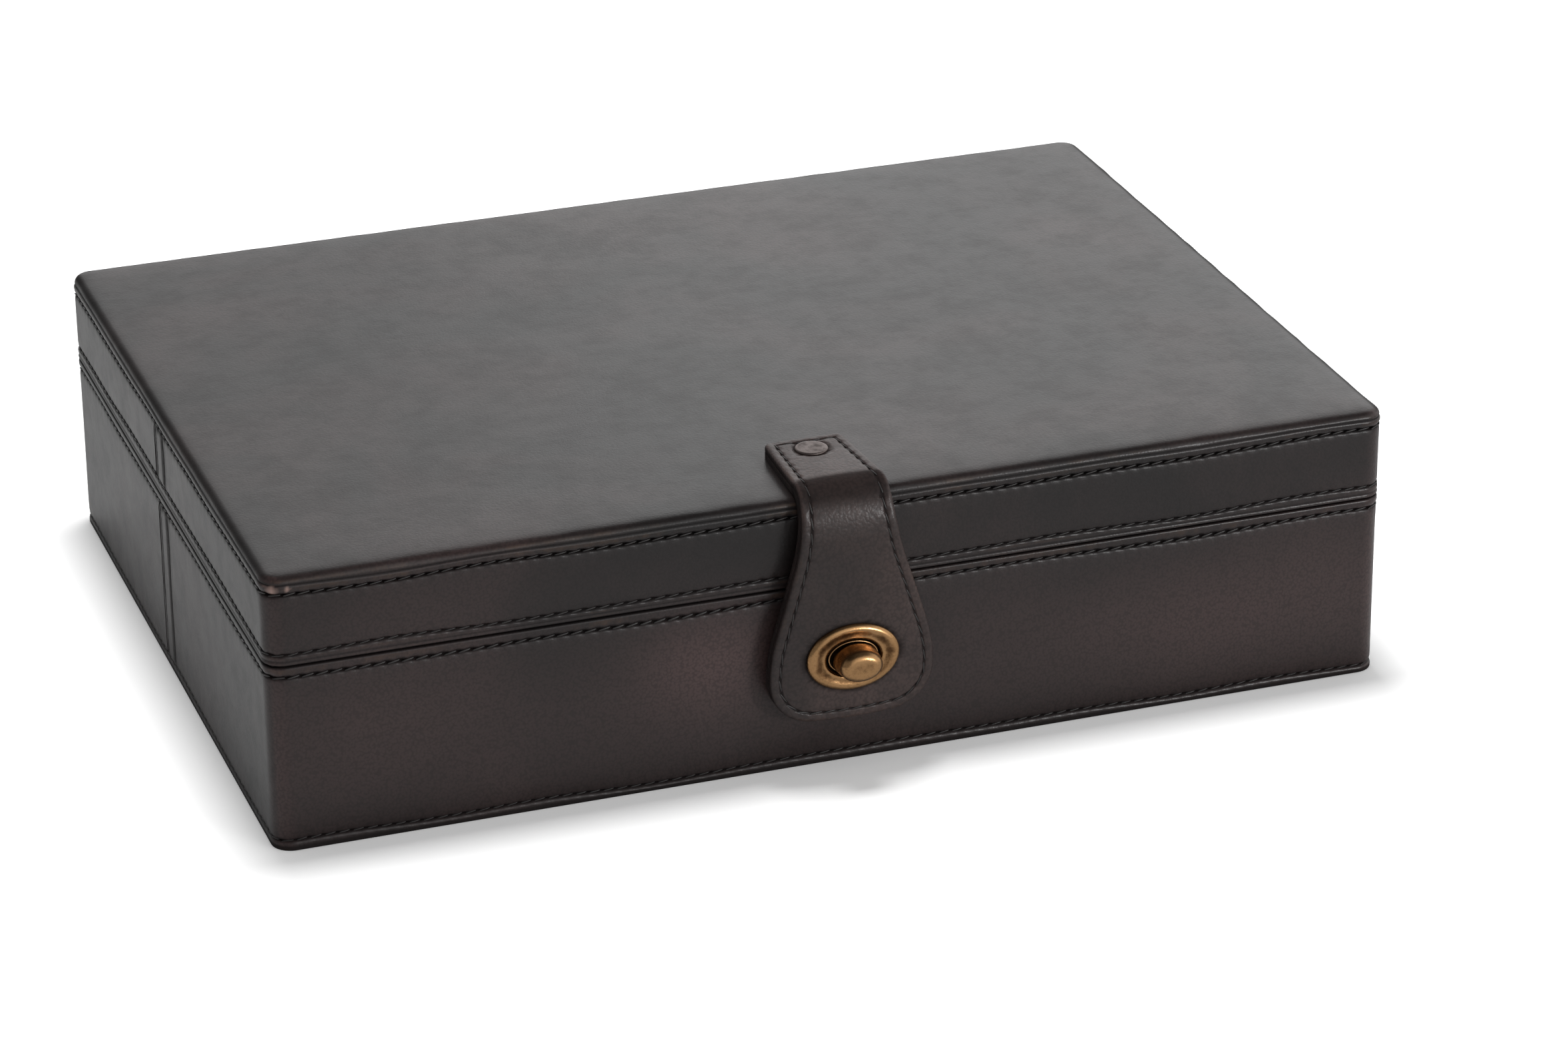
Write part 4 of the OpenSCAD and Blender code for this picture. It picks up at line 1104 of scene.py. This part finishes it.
# %% Turn button
neck = rounds((5.8, -6.3, 0), (5.8, -5.35, 0), (4.0, -5.3, 0), (4.0, 7.7, 0), (8.2, 7.7, -1),
              (8.4, 7.8, -1), (8.4, 9.5, -1))
grip = [(12.5, 9.1, 9.5, -1), (13.1, 9.7, 9.62, -0.2), (13.4, 10.0, 9.95, 0.6), (13.35, 9.95, 10.4, 0.6),
        (13.1, 9.7, 12.0, 0.1)]
for a in (math.radians(d) for d in range(0, 91, 15)):
    narrower = 5 * (1 - math.cos(a))
    grip.append((12.7 - narrower, 9.3 - narrower, 13.9 + 2.5 * math.sin(a), math.cos(a - 0.9)))
bm, core = oval_solid(neck + grip + [(5.6, 2.6, 16.43, 0.2), (2.4, 1.1, 16.45, 0.2)])
close_back(bm)
stand_up(bm)
piece("button", bm, lock_brass, "turn_button", "turn_button")

# %% Rivet
# Levels count from the lid's top, and the cap sits on the strap
bm, core = oval_solid(rounds(
    (3.2, -5.3, 0), (3.2, 3.6, 0), (9.2, 3.6, -1), (9.4, 3.75, -1), (9.4, 4.0, -0.2), (9.2, 4.18, 0.7),
    (8.8, 4.28, 0.9), (8.2, 4.32, 0.5), (7.4, 4.33, 0.1), (3.0, 4.37, 0)), segments=48)
close_back(bm)
bmesh.ops.translate(bm, vec=Vector((-ASKEW, RIVET_Y, LID_TOP)) * MM, verts=bm.verts)
piece("rivet", bm, rivet_bronze, "lid", "strap_rivet")

# %% [markdown]
# ## Lining
# Suede over card covers the walls below the turn-in, and two thin pads cover the floor
# and the lid. A pad is fullest in the middle and rolls down to its edges.

# %% Pads
IN_W, IN_D = BOX_W - 2 * LINED - 2, BOX_D - 2 * LINED - 2


def pad(name, body, level, way):
    """A thin pad that rises (1) or hangs (-1) from its board."""
    bm, core = outline(IN_W, IN_D, 3, level, step=3)
    edge_roll = [(0, 0.7, -0.5), (0.15, 1.05, -0.2), (0.5, 1.3, 0), (1.2, 1.45, 0), (2.4, 1.55, 0)]
    walk(bm, core, (0, level), [(i, level + way * z, r) for i, z, r in edge_roll])
    face = grid_cut(bm, core, 6)
    close_back(bm)
    for v in face:
        edge = min(IN_W / 2 * MM - abs(v.co.x), IN_D / 2 * MM - abs(v.co.y)) / MM
        full = 1 - math.exp(-max(0, edge - 2.4) / 12)
        v.co.z += way * (0.25 * full + 0.15 * full * noise.noise(v.co / MM / 30)) * MM
    obj = piece(f"{name}_pad", bm, suede, body, f"{name}_lining", slot="lining")


pad("base_floor", "base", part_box("base_floor_lining")[0].z / MM, 1)
pad("lid_top", "lid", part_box("lid_top_lining")[1].z / MM, -1)


# %% Wall linings
def wall_cloth(body, count=8):
    """The suede round the walls, in so many steps from edge to edge."""
    z0, z1 = (p.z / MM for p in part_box(f"{body}_wall_lining"))
    bm, core = outline(BOX_W - 2 * LINED, BOX_D - 2 * LINED, 1.6, z0, step=2)
    middle = [(1.0, z0 + 0.6 + (z1 - z0 - 1.2) * k / count, 0) for k in range(count + 1)]
    walk(bm, core, (0, z0), [(0.8, z0, -1), (1.0, z0 + 0.3, -0.5), *middle,
                             (0.92, z1 - 0.25, -0.5), (0.6, z1, -1), (0, z1, -1)])
    join_ends(bm, core)
    sway(bm, 0.12, 30, keep=lambda v: within(v.co.z / MM, z0, z1, 4))
    piece(f"{body}_wall_cloth", bm, suede, body, f"{body}_wall_lining", slot="lining")


wall_cloth("base")
wall_cloth("lid")

# %% [markdown]
# ## Finish of the CAD nodes that stay
# The boards, the hinges, the screws and the inner washers already have the right
# shape. They keep their meshes and get a procedural finish.

# %% Materials for the CAD nodes
FINISH = {"board": board_wood, "hinge_brass": hinge_brass,
          "lock_brass": lock_brass, "rivet_bronze": rivet_bronze}
slots = {p["node"]: p["material_slot"] for p in frame["record"]["subparts"]}
for name, obj in nodes.items():
    if not obj.hide_render:
        obj.data.materials.clear()
        obj.data.materials.append(FINISH[slots[name]])
print("CAD nodes shown:", sum(not o.hide_render for o in nodes.values()))
